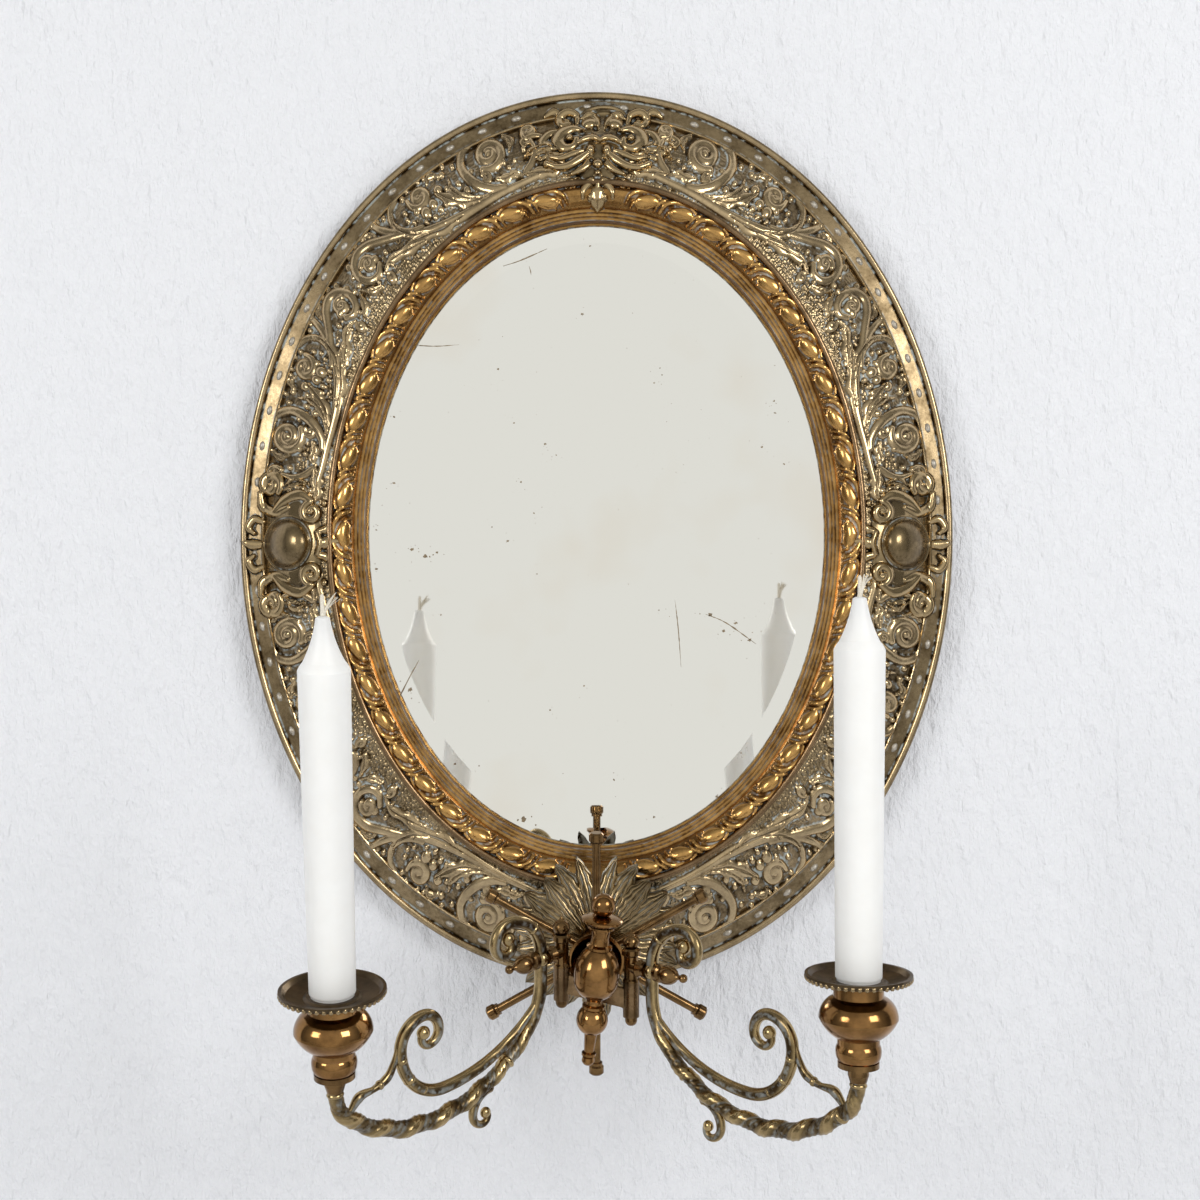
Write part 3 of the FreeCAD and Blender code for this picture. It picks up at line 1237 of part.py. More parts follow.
# ---------------------------------------------------------------- hinges and arms
def make_hinge(side):
    name = side.name
    barrel_foot = -(sleeve_below + face_gap + barrel_length)
    collar_top = sleeve_above + face_gap
    pin_foot = barrel_foot - pin_nut_height * 0.8
    pin_top = collar_top + finial_height * 0.5
    keep(cylinder(name + "_pin", pin_radius, pin_top - pin_foot, side.place(0, pin_foot)),
         name + "_pin")
    keep(turned(name + "_pin_finial", [
        (pin_radius, 0.0),
        (finial_radius * 0.6, 0.0, finial_radius * 1.05),
        (finial_radius, finial_height * 0.36, finial_radius * 1.05),
        (finial_radius * 0.35, finial_height * 0.72, -finial_radius * 1.4),
        (0.0, finial_height),
        (0.0, finial_height * 0.5),
        (pin_radius, finial_height * 0.5),
    ], side.place(0, collar_top)), name + "_pin_finial")
    keep(turned(name + "_pin_nut", [
        (0.0, 0.0),
        (pin_nut_radius * 0.5, 0.0, pin_nut_radius),
        (pin_nut_radius, pin_nut_height * 0.6),
        (pin_nut_radius, pin_nut_height),
        (pin_radius, pin_nut_height),
        (pin_radius, pin_nut_height * 0.2),
        (0.0, pin_nut_height * 0.2),
    ], side.place(0, barrel_foot - pin_nut_height)), name + "_pin_nut")

    length = sleeve_below + sleeve_above
    sleeve = turned(name + "_sleeve", [
        (0.0, 0.0),
        (sleeve_foot_radius, 0.0),
        (sleeve_foot_radius, edge_round),
        (sleeve_radius, edge_round * 2),
        (sleeve_radius, length - sleeve_collar_height),
        (sleeve_collar_radius, length - sleeve_collar_height + edge_round),
        (sleeve_collar_radius, length - edge_round),
        (sleeve_collar_radius - edge_round, length),
        (0.0, length),
    ], side.place(0, -sleeve_below))
    outward = turn_y(90)
    shoulder = stem_reach - lug_half_length
    elbow = turned(name + "_elbow_spigot", [
        (0.0, 0.0),
        (elbow_radius, 0.0),
        (elbow_radius, shoulder * 0.42),
        (elbow_radius * 1.3, shoulder * 0.55),
        (elbow_radius * 0.9, shoulder * 0.8),
        (elbow_radius * 1.15, shoulder * 0.85),
        (elbow_radius * 1.15, shoulder),
        (spigot_radius, shoulder),
        (spigot_radius, shoulder + lug_half_length * 2 + acorn_length * 0.4),
        (0.0, shoulder + lug_half_length * 2 + acorn_length * 0.4),
    ], side.place(0, 0, outward))
    bore = cylinder(name + "_pin_hole", pin_radius + pin_clearance, BEYOND,
                    side.place(0, -BEYOND / 2))
    keep(cut(name + "_elbow", fuse(name + "_elbow_casting", sleeve, elbow), bore),
         name + "_elbow")
    tip = acorn_length
    keep(turned(name + "_acorn_nut", [
        (spigot_radius, 0.0),
        (acorn_radius * 0.95, 0.0),
        (acorn_radius * 0.95, tip * 0.14),
        (acorn_radius * 0.6, tip * 0.22),
        (acorn_radius * 0.6, tip * 0.3),
        (acorn_radius, tip * 0.36, acorn_radius * 1.6),
        (acorn_radius * 0.45, tip * 0.82, -acorn_radius),
        (acorn_ball_radius * 0.5, tip, acorn_ball_radius),
        (acorn_ball_radius, tip + acorn_ball_radius * 0.866, acorn_ball_radius),
        (0.0, tip + acorn_ball_radius * 1.866),
        (0.0, tip * 0.4),
        (spigot_radius, tip * 0.4),
    ], side.place(shoulder + lug_half_length * 2, 0, outward)), name + "_acorn_nut")


def quarter(start, heading, radius, turn):
    """A quarter arc and where it ends: heading in quarter turns from +X."""
    ahead = Vector(math.cos(heading * math.pi / 2), 0, math.sin(heading * math.pi / 2))
    inward = Vector(-ahead.z * turn, 0, ahead.x * turn)
    centre = start.add(inward * radius)
    end = centre.add(ahead * radius)
    middle = centre.add((ahead - inward) * (radius * math.sqrt(0.5)))
    return Part.Arc(start, middle, end).toShape(), end, heading + turn


def volute(start, heading, radii, turn):
    """Quarter arcs that shrink towards the eye of a scroll."""
    edges = []
    for radius in radii:
        edge, start, heading = quarter(start, heading, radius, turn)
        edges.append(edge)
    return edges, start


def shrinking(first, share, count):
    return [first * share ** step for step in range(count)]


def corner_radius(run, rise, bow):
    """The small radius that joins a long bow to a square corner smoothly."""
    return (bow * bow - run * run - (rise - bow) ** 2) / (2 * (bow - run))


def long_bow(run, rise, gain):
    """The radius of a long bow, from that of the one arc through both ends."""
    return (run * run + rise * rise) / (2 * rise) * gain.value


def bow_pair(low, run, rise, bow, side):
    """Two arcs from the lowest point, level there, to upright at the far end."""
    small = corner_radius(run, rise, bow)
    big_centre = Vector(low.x, 0, low.z + bow)
    small_centre = Vector(low.x + side * (run - small), 0, low.z + rise)
    way = small_centre.sub(big_centre).normalize()
    meet = big_centre.add(way * bow)
    mid_way = (way + Vector(0, 0, -1)).normalize()
    first = Part.Arc(low, big_centre.add(mid_way * bow), meet).toShape()
    end = small_centre.add(Vector(side * small, 0, 0))
    mid_way = (way + Vector(side, 0, 0)).normalize()
    second = Part.Arc(meet, small_centre.add(mid_way * small), end).toShape()
    return [first, second], end


def tube(edges, radius):
    """A round tube along tangent edges."""
    wire = Part.Wire(Part.__sortEdges__(edges))
    first = wire.OrderedEdges[0]
    start = wire.OrderedVertexes[0].Point
    heading = first.tangentAt(first.FirstParameter)
    if first.Orientation == "Reversed":
        heading = first.tangentAt(first.LastParameter).negative()
    circle = Part.Circle(start, heading, radius)
    return wire.makePipeShell([Part.Wire(circle.toShape())], True, False)


def arm_solid():
    """The cast arm in its own frame: X out along the arm, Z up."""
    low = Vector(bow_reach.value, 0, -arm_drop.value)
    stem_run = bow_reach.value - stem_reach.value
    stem_climb = arm_drop.value * 0.82
    stem_bow = long_bow(stem_run, stem_climb, stem_bow_gain)
    stem_side, stem_end = bow_pair(low, stem_run, stem_climb, stem_bow, -1)
    cup_run = arm_reach.value - bow_reach.value
    cup_climb = arm_drop.value + cup_foot.value - cup_boss_height.value
    cup_bow = long_bow(cup_run, cup_climb, cup_bow_gain)
    cup_side, cup_end = bow_pair(low, cup_run, cup_climb, cup_bow, 1)
    peg = Part.LineSegment(cup_end, Vector(arm_reach.value, 0, cup_foot.value)).toShape()
    stem_top = Vector(stem_reach.value, 0, stem_rise.value)
    upright = Part.LineSegment(stem_end, stem_top).toShape()
    crook_radii = [crook_radius.value] + shrinking(crook_curl_radius.value, 0.71, 4)
    crook, crook_eye = volute(stem_top, 1, crook_radii, -1)
    parts = [tube([peg] + cup_side + stem_side + [upright] + crook, arm_radius.value)]
    parts.append(Part.makeSphere(arm_radius.value * 1.35, crook_eye))

    branch_low = Vector(branch_reach.value, 0, branch_gap.value - arm_drop.value)
    lead_run = branch_reach.value - stem_reach.value - arm_radius.value * 3.5
    lead_angle = math.asin(lead_run / stem_bow)
    lead_centre = branch_low.add(Vector(0, 0, stem_bow))
    lead_mid = lead_centre.add(Vector(-math.sin(lead_angle / 2), 0,
                                      -math.cos(lead_angle / 2)) * stem_bow)
    lead_end = lead_centre.add(Vector(-math.sin(lead_angle), 0,
                                      -math.cos(lead_angle)) * stem_bow)
    lead = Part.Arc(branch_low, lead_mid, lead_end).toShape()
    scroll, scroll_eye = volute(branch_low, 0, shrinking(branch_bow_radius.value, 0.6, 5), 1)
    parts.append(tube([lead] + scroll, branch_radius.value))
    parts.append(Part.makeSphere(branch_radius.value * 1.02, lead_end))
    parts.append(Part.makeSphere(branch_radius.value * 1.5, scroll_eye))

    tail_start = Vector(bow_reach.value - tail_bow_radius.value * 3.2, 0,
                        -arm_drop.value + arm_radius.value * 1.6)
    tail, tail_eye = volute(tail_start, 0, shrinking(tail_bow_radius.value, 0.55, 4), -1)
    parts.append(tube(tail, tail_radius.value))
    parts.append(Part.makeSphere(tail_radius.value * 1.5, tail_eye))

    leaf_start = Vector(arm_reach.value * 0.735, 0, cup_foot.value * 1.35)
    leaf_end = Vector(arm_reach.value * 0.925, 0, cup_foot.value * 1.55)
    leaf_mid = leaf_start.add(leaf_end).multiply(0.5).add(Vector(0, 0, -arm_radius.value * 2.2))
    leaf = Part.Arc(leaf_start, leaf_mid, leaf_end).toShape()
    parts.append(tube([leaf], leaf_tube_radius.value))
    for end in (leaf_start, leaf_end):
        parts.append(Part.makeSphere(leaf_tube_radius.value * 1.02, end))

    for edge in (stem_side[0], cup_side[0], scroll[0]):
        spot = edge.valueAt((edge.FirstParameter + edge.LastParameter) / 2)
        parts.append(Part.makeSphere(bud_radius.value, spot))
    for edge, share in ((cup_side[1], 0.45), (cup_side[1], 0.1)):
        at_edge = edge.FirstParameter + (edge.LastParameter - edge.FirstParameter) * share
        along = edge.tangentAt(at_edge)
        spot = edge.valueAt(at_edge) - along * (arm_radius.value / 2)
        parts.append(Part.makeCylinder(arm_radius.value * 1.3, arm_radius.value, spot, along))

    lug = Part.makeCylinder(lug_radius.value, lug_half_length.value * 2,
                            Vector(stem_reach.value - lug_half_length.value, 0, 0),
                            Vector(1, 0, 0))
    hole = Part.makeCylinder(spigot_radius.value + spigot_clearance.value, BEYOND,
                             Vector(-BEYOND / 2, 0, 0), Vector(1, 0, 0))
    return parts[0].fuse(parts[1:] + [lug]).removeSplitter().cut(hole)


def make_arms():
    casting = arm_solid()
    for side in SIDES:
        finished_shape(casting, side.name + "_arm", side.frame)


def make_cup(side):
    name = side.name
    bore = arm_radius
    peg = peg_radius
    keep(turned(name + "_cup_foot", [
        (bore, 0.0),
        (cup_boss_radius * 0.8, 0.0),
        (cup_boss_radius, cup_boss_height * 0.5),
        (cup_boss_radius, cup_boss_height),
        (cup_flange_radius, cup_boss_height + 0.6),
        (cup_flange_radius, cup_boss_height + cup_flange_height),
        (peg, cup_boss_height + cup_flange_height),
        (peg, cup_boss_height + cup_flange_height + peg_height),
        (0.0, cup_boss_height + cup_flange_height + peg_height),
        (0.0, cup_boss_height),
        (bore, cup_boss_height),
    ], side.place(arm_reach, cup_foot - cup_boss_height)), name + "_cup_foot")
    level = cup_foot + cup_flange_height
    waist = lower_bulb_height + cup_waist_height
    neck = waist + main_bulb_height
    top = neck + cup_neck_height
    seat = candle_foot_radius + candle_clearance
    floor = top + pan_gauge - candle_seat_depth
    keep(turned(name + "_candle_cup", [
        (peg, 0.0),
        (lower_bulb_radius * 0.86, 0.0, lower_bulb_height * 0.8),
        (lower_bulb_radius, lower_bulb_height * 0.5, lower_bulb_height * 0.8),
        (cup_waist_radius, lower_bulb_height),
        (cup_waist_radius, waist, main_bulb_radius),
        (main_bulb_radius, waist + main_bulb_height * 0.52, main_bulb_height * 0.6),
        (cup_neck_radius * 1.2, neck),
        (cup_neck_radius, neck + 1.0),
        (cup_neck_radius, top),
        (seat, top),
        (seat, floor),
        (peg, floor),
    ], side.place(arm_reach, level)), name + "_candle_cup")
    keep(turned(name + "_drip_pan", [
        (seat, 0.0),
        (cup_neck_radius + 1.2, 0.0),
        (pan_radius - 2.4, pan_height * 0.42),
        (pan_radius - 0.6, pan_height * 0.55),
        (pan_radius, pan_height * 0.8),
        (pan_radius, pan_height),
        (pan_radius - pan_gauge, pan_height),
        (pan_radius - 2.2 * pan_gauge, pan_height * 0.62),
        (pan_lip_radius + 1.2, pan_gauge),
        (pan_lip_radius, pan_gauge + 0.7),
        (seat, pan_gauge + 0.7),
    ], side.place(arm_reach, level + top)), name + "_drip_pan")
    base = level + floor + face_gap
    seat_top = candle_seat_depth + 0.9
    shoulder = seat_top + candle_body_height
    cone = shoulder + candle_cone_height
    keep(turned(name + "_candle", [
        (0.0, 0.0),
        (candle_foot_radius - 0.6, 0.0),
        (candle_foot_radius, 0.8),
        (candle_foot_radius, seat_top),
        (candle_base_radius, seat_top + 1.2),
        (candle_top_radius, shoulder, candle_top_radius),
        (candle_top_radius * 0.8, shoulder + candle_cone_height * 0.16,
         -candle_cone_height * 2.5),
        (candle_cone_radius, cone, candle_cone_radius * 1.2),
        (wick_radius, cone + 0.8),
        (wick_radius, cone - wick_depth),
        (0.0, cone - wick_depth),
    ], side.place(arm_reach, base)), name + "_candle")
    keep(turned(name + "_wick", [
        (0.0, 0.0),
        (wick_radius, 0.0),
        (wick_radius, wick_depth + wick_height),
        (wick_radius * 0.4, wick_depth + wick_height + 1.0),
        (0.0, wick_depth + wick_height + 1.0),
    ], side.place(arm_reach, base + cone - wick_depth)), name + "_wick")


# ---------------------------------------------------------------- build and write
casting_seat, wire_channel = make_frame()
make_glass()
raised = raised_form()
make_crest(casting_seat, wire_channel, raised)
make_side_boss("left_boss", -1, casting_seat, wire_channel, raised)
make_side_boss("right_boss", 1, casting_seat, wire_channel, raised)
make_rosette()
make_hub(casting_seat)
make_yoke()
make_stud()
make_spindle()
for arm_side in SIDES:
    make_hinge(arm_side)
    make_cup(arm_side)
make_arms()
doc.recompute()

faults = []
for thing in doc.Objects:
    if "Invalid" in thing.State or "Error" in thing.State:
        faults.append(f"{thing.Name}: {thing.State}")
for piece in pieces:
    if piece.Shape.isNull() or not piece.Shape.isValid() or piece.Shape.Volume <= 0:
        faults.append(f"{piece.Label}: bad shape")
if faults:
    raise RuntimeError("\n".join(faults))

os.makedirs("parts", exist_ok=True)
for piece in pieces:
    shape = piece.Shape
    shape.exportStep(os.path.join("parts", piece.Label + ".step"))
    print(f"{piece.Label:22s} solids {len(shape.Solids)}  volume {shape.Volume:12.1f}")
print("nodes:", len(pieces))
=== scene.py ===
# %% [markdown]
# # An oval wall mirror with two candle arms
# The real mirror is thin brass sheet, embossed from behind and laid over a wooden oval.
# Cast and turned brass hangs at its foot and carries two candles on arms that swing.
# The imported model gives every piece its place. This lesson gives the pieces their relief,
# their metal and their light. Sizes are written in millimetres and turned to metres once.

# %% Load the frame
import json
import math

import bmesh
import bpy
import numpy as np
from mathutils import Matrix, Vector


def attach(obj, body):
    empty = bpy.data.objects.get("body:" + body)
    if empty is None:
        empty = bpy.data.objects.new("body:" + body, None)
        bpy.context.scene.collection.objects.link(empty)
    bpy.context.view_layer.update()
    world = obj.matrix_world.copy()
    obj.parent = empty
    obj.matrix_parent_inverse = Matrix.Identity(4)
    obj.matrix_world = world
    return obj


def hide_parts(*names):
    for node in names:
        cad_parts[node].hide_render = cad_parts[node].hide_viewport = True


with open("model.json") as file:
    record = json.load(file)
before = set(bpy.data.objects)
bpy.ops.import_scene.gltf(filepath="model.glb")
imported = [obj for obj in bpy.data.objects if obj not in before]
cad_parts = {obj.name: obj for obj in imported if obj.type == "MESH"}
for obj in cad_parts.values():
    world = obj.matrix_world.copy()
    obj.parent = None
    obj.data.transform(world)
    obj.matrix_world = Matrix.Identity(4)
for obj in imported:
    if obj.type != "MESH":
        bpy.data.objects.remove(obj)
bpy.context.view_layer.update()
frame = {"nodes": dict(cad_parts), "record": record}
MM = 0.001

# %% [markdown]
# The camera stands where the photograph was taken: about 0.9 m in front of the wall, a
# little below the middle of the oval, and it looks straight at the wall. A 50 mm lens on
# a 36 mm square picture gives the same size of the mirror in the frame.

# %% Camera
def in_scene(name, data):
    """Make an object of this data and link it to the scene."""
    item = bpy.data.objects.new(name, data)
    bpy.context.scene.collection.objects.link(item)
    return item


camera = in_scene("camera", bpy.data.cameras.new("camera"))
bpy.context.scene.camera = camera
camera.data.lens = 50.0
camera.data.sensor_width = 36.0
camera.location = Vector((1.8, -900.0, -34.0)) * MM
camera.rotation_euler = (math.radians(90), 0, 0)
bpy.context.scene.view_settings.view_transform = "Standard"

# %% [markdown]
# Materials are node trees. Two helpers keep them short: one turns a screen colour written
# as sRGB hex into the linear numbers that the shader needs, and one adds a node with its
# settings and its links in a single line.

# %% Node helpers
SPAN = (0.3, 0.7)               # where nearly all values of a noise pattern lie


def linear(colour):
    """An sRGB hex colour as linear RGBA."""
    channels = [int(colour[i:i + 2], 16) / 255 for i in (1, 3, 5)]
    return [c / 12.92 if c <= 0.04045 else ((c + 0.055) / 1.055) ** 2.4
            for c in channels] + [1.0]


def add(tree, kind, inputs=None, **settings):
    """Add a node; an input is a socket to link from or a plain value."""
    node = tree.nodes.new(kind)
    for name, value in settings.items():
        setattr(node, name, value)
    for name, value in (inputs or {}).items():
        if isinstance(value, bpy.types.NodeSocket):
            tree.links.new(value, node.inputs[name])
        else:
            node.inputs[name].default_value = value
    return node


def new_material(name):
    material = bpy.data.materials.new(name)
    material.use_nodes = True
    tree = material.node_tree
    tree.nodes.clear()
    return material, tree


def bump(tree, height, strength, distance):
    """A surface direction that follows a pattern; distance is in metres."""
    return add(tree, "ShaderNodeBump", {"Height": height, "Strength": strength,
                                        "Distance": distance}).outputs[0]


def surface(tree, **inputs):
    """A principled surface as the material's output, its inputs named with underscores."""
    inputs = {name.replace("_", " "): value for name, value in inputs.items()}
    shader = add(tree, "ShaderNodeBsdfPrincipled", inputs)
    add(tree, "ShaderNodeOutputMaterial", {"Surface": shader.outputs[0]})


def noise(tree, size_mm, detail=3.0, roughness=0.55, stretch=(1, 1, 1)):
    """A noise pattern whose features are about size_mm across on the piece."""
    place = add(tree, "ShaderNodeTexCoord").outputs["Object"]
    scaled = add(tree, "ShaderNodeMapping", {"Vector": place, "Scale": stretch})
    return add(tree, "ShaderNodeTexNoise", {
        "Vector": scaled.outputs[0], "Scale": 1000.0 / size_mm,
        "Detail": detail, "Roughness": roughness}).outputs["Fac"]


def ramp(tree, value, low, high, to_low=0.0, to_high=1.0):
    return add(tree, "ShaderNodeMapRange", {
        "Value": value, "From Min": low, "From Max": high,
        "To Min": to_low, "To Max": to_high}, clamp=True).outputs[0]


def maths(tree, operation, first, second):
    return add(tree, "ShaderNodeMath", {0: first, 1: second}, operation=operation).outputs[0]


def mix(tree, share, first, second):
    """A colour between two colours."""
    return add(tree, "ShaderNodeMix", {0: share, 6: first, 7: second},
               data_type="RGBA").outputs[2]


# %% [markdown]
# Old brass is a copper and zinc alloy that has gone olive brown in its hollows and is
# rubbed bright where a cloth reaches. Dried polish, a pale blue white chalk, stays in the
# deepest corners. Every relief mesh here carries an attribute called relief, 0 in the
# hollows and 1 on the tops, so one recipe gives all three finishes their places.

# %% Brass
def brass(name, deep, rubbed, chalk_amount, rough_deep, rough_rubbed, relief=True):
    material, tree = new_material(name)
    patches = noise(tree, 14.0, 4.0, 0.6)
    grain = noise(tree, 1.6, 3.0, 0.6)
    if relief:
        height = add(tree, "ShaderNodeAttribute", attribute_name="relief").outputs["Fac"]
    else:
        height = ramp(tree, noise(tree, 9.0, 2.0), *SPAN, 0.4, 0.8)
    worn = maths(tree, "ADD", height, ramp(tree, patches, *SPAN, -0.16, 0.16))
    worn = maths(tree, "ADD", worn, ramp(tree, grain, *SPAN, -0.07, 0.07))
    worn = ramp(tree, worn, 0.16, 0.86)
    colour = mix(tree, worn, linear(deep), linear(rubbed))
    streak = ramp(tree, maths(tree, "ADD", noise(tree, 4.0, 3.0, 0.6),
                              ramp(tree, patches, *SPAN, -0.1, 0.1)), 0.44, 0.58)
    chalk = maths(tree, "MULTIPLY", ramp(tree, height, 0.38, 0.2), streak)
    chalk = maths(tree, "MULTIPLY", chalk, chalk_amount)
    colour = mix(tree, chalk, colour, linear("#bcc4c2"))
    scratches = noise(tree, 0.9, 2.0, 0.5, (1.0, 1.0, 0.35))
    surface(tree, Base_Color=colour, Metallic=ramp(tree, chalk, 0.0, 1.0, 1.0, 0.0),
            Roughness=maths(tree, "ADD", ramp(tree, worn, 0.0, 1.0, rough_deep, rough_rubbed),
                            maths(tree, "MULTIPLY", chalk, 0.4)),
            Normal=bump(tree, scratches, 0.08, 0.0002))
    return material


EMBOSSED = brass("embossed_patinated_brass", "#44351f", "#ccb48c", 0.85, 0.34, 0.16)
GILT = brass("warm_rubbed_brass", "#56381a", "#e2b26c", 0.6, 0.34, 0.15)
CAST = brass("cast_patinated_brass", "#3c301f", "#b29b74", 0.75, 0.34, 0.16)
ARM_CAST = brass("arm_cast_brass", "#463723", "#b79f72", 0.45, 0.36, 0.18)
TURNED = brass("turned_polished_brass", "#5c4023", "#a57c4c", 0.1, 0.2, 0.1, False)
AGED = brass("aged_turned_brass", "#3d2c1a", "#8f7049", 0.1, 0.28, 0.16, False)
SATIN = brass("satin_dark_brass", "#2f2820", "#66553f", 0.1, 0.46, 0.36, False)
print("brasses:", [m.name for m in (EMBOSSED, GILT, CAST, ARM_CAST, TURNED, AGED, SATIN)])

# %% [markdown]
# The other finishes: plain steel for screws and pins, oiled pine and stained board for
# the back, paraffin wax that light enters a little way, and undyed cotton for the wick.

# %% Other finishes
def plain(name, colour, darker, size_mm, roughness, metallic=0.0, stretch=(1, 1, 1), rise=0.2):
    material, tree = new_material(name)
    pattern = noise(tree, size_mm, 4.0, 0.6, stretch)
    surface(tree, Metallic=metallic,
            Base_Color=mix(tree, ramp(tree, pattern, *SPAN), linear(darker), linear(colour)),
            Roughness=ramp(tree, pattern, *SPAN, roughness - 0.06, roughness + 0.06),
            Normal=bump(tree, pattern, rise, 0.0003))
    return material


STEEL = plain("plain_steel", "#8d8a84", "#5f5a52", 3.0, 0.38, 1.0)
PINE = plain("oiled_pine", "#8a6238", "#5d3f22", 6.0, 0.62, 0.0, (1, 1, 0.12), 0.35)
BOARD = plain("stained_board", "#5b3d26", "#3a2616", 5.0, 0.66, 0.0, (1, 1, 0.1), 0.35)
COTTON = plain("undyed_cotton", "#f1ece0", "#cfc6b4", 0.6, 0.85)


def wax():
    """Paraffin wax: light goes a few millimetres in, so its edges glow softly."""
    material, tree = new_material("paraffin_wax")
    colour = mix(tree, noise(tree, 12.0, 3.0), linear("#eeedea"), linear("#f6f6f4"))
    surface(tree, Base_Color=colour, Roughness=0.42, IOR=1.44, Subsurface_Weight=0.6,
            Subsurface_Scale=0.01, Subsurface_Radius=(1.0, 0.97, 0.94),
            Normal=bump(tree, noise(tree, 7.0, 2.0), 0.1, 0.0004))
    return material


WAX = wax()

# %% [markdown]
# Every piece is built from rows of points with numpy, which is quick and exact. The
# helpers below turn such rows into a mesh whose object sits at the origin, close its
# poles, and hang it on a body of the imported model.

# %% Mesh helpers
SHARP = math.radians(48)        # past this angle an edge shows as a crease


def grid_faces(rows, columns, wrap_columns=False, start=0):
    """The quads of a grid of points, rows one after the other."""
    across = np.arange(columns if wrap_columns else columns - 1)
    down = np.arange(rows - 1)[:, None] * columns
    after = (across + 1) % columns
    quads = np.stack([down + across, down + after, down + columns + after,
                      down + columns + across], axis=-1)
    return quads.reshape(-1, 4) + start


def weld(mesh, reach):
    """Close the poles of a shell and turn its faces outwards."""
    work = bmesh.new()
    work.from_mesh(mesh)
    bmesh.ops.remove_doubles(work, verts=work.verts, dist=reach)
    bmesh.ops.recalc_face_normals(work, faces=work.faces)
    work.to_mesh(mesh)
    work.free()


def mount(name, mesh, body, replaced):
    """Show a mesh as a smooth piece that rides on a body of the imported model."""
    mesh.polygons.foreach_set("use_smooth", np.ones(len(mesh.polygons), bool))
    piece = in_scene(name, mesh)
    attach(piece, body)
    if replaced:
        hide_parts(*replaced)
    print(f"{name}: {len(mesh.vertices)} points, {len(mesh.polygons)} faces")


def make_piece(name, points, faces, material, body, replaced=(), relief=None, close=True):
    """A piece from a grid of points, its faces and its relief."""
    mesh = bpy.data.meshes.new(name)
    points = np.asarray(points, np.float32).reshape(-1, 3)
    loops = np.concatenate([np.asarray(f, np.int32).ravel() for f in faces])
    sizes = np.concatenate([np.full(len(f), np.shape(f)[1], np.int32) for f in faces])
    mesh.vertices.add(len(points))
    mesh.vertices.foreach_set("co", points.ravel())
    mesh.loops.add(len(loops))
    mesh.loops.foreach_set("vertex_index", loops)
    mesh.polygons.add(len(sizes))
    mesh.polygons.foreach_set("loop_start", (np.cumsum(sizes) - sizes).astype(np.int32))
    mesh.update(calc_edges=True)
    if relief is not None:
        layer = mesh.attributes.new("relief", "FLOAT", "POINT")
        layer.data.foreach_set("value", np.asarray(relief, np.float32).ravel())
    if close:
        weld(mesh, 2e-6)
    mesh.polygons.foreach_set("use_smooth", np.ones(len(mesh.polygons), bool))
    mesh.set_sharp_from_angle(angle=SHARP)
    mesh.materials.append(material)
    mount(name, mesh, body, replaced)


def heading(path):
    """The direction of a path at each of its points."""
    way = np.gradient(path, axis=0)
    return way / (np.linalg.norm(way, axis=1)[:, None] + 1e-9)


def circle(count):
    """Evenly spaced angles of a full turn."""
    return np.linspace(0, 2 * math.pi, count, endpoint=False)


def flowing(points, spacing=0.5):
    """Points along a smooth curve through the given ones (any number of columns)."""
    points = np.asarray(points, float)
    before = np.vstack([2 * points[0] - points[1], points, 2 * points[-1] - points[-2]])
    out = []
    for a, b, c, d in zip(before, before[1:], before[2:], before[3:]):
        count = max(2, int(np.linalg.norm((c - b)[:2]) / spacing))
        t = np.linspace(0, 1, count, endpoint=False)[:, None]
        out.append(0.5 * (2 * b + (c - a) * t + (2 * a - 5 * b + 4 * c - d) * t ** 2
                          + (3 * b - a - 3 * c + d) * t ** 3))
    out.append(points[-1:])
    return np.vstack(out)


# %% [markdown]
# The oval moulding is one section carried round an ellipse. A point of it is named by how
# far it lies along the oval and how far in from the outer edge. The next cell holds the
# oval, in millimetres, and walks along it at even steps.

# %% The oval
HALF_WIDTH, HALF_HEIGHT, END_GAIN = 190.0, 237.0, 1.055
SIGHT_INSET = 68.4


def semi_axes(inset):
    return HALF_WIDTH - inset, HALF_HEIGHT - np.multiply(inset, END_GAIN)


TURN = np.linspace(0, math.pi / 2, 4001)
mid_a, mid_b = semi_axes(SIGHT_INSET / 2)
steps = np.hypot(np.diff(mid_a * np.sin(TURN)), np.diff(mid_b * np.cos(TURN)))
WALK = np.concatenate([[0], np.cumsum(steps)])
QUARTER = WALK[-1]
print(f"a quarter of the oval is {QUARTER:.1f} mm along the middle of the moulding")


def oval_points(angle, inset, depth, right=1.0, up=1.0):
    """Points of the moulding in metres: angle runs from the end of the oval to its side."""
    a, b = semi_axes(inset)
    return np.stack([right * a * np.sin(angle), -depth + 0 * angle,
                     up * b * np.cos(angle)], axis=-1) * MM


# %% [markdown]
# Embossed relief is drawn the way a chaser works: a spiral, a stem or a leaf is a stroke
# that swells and thins, and a berry is one touch of a round punch. The strokes are
# stamped into a height map that covers a quarter of the band, in steps of about half a
# millimetre, and the map then lifts the points of the band. The ornament is the same in
# all four quarters, mirrored, and nearly the same in both halves of a quarter.

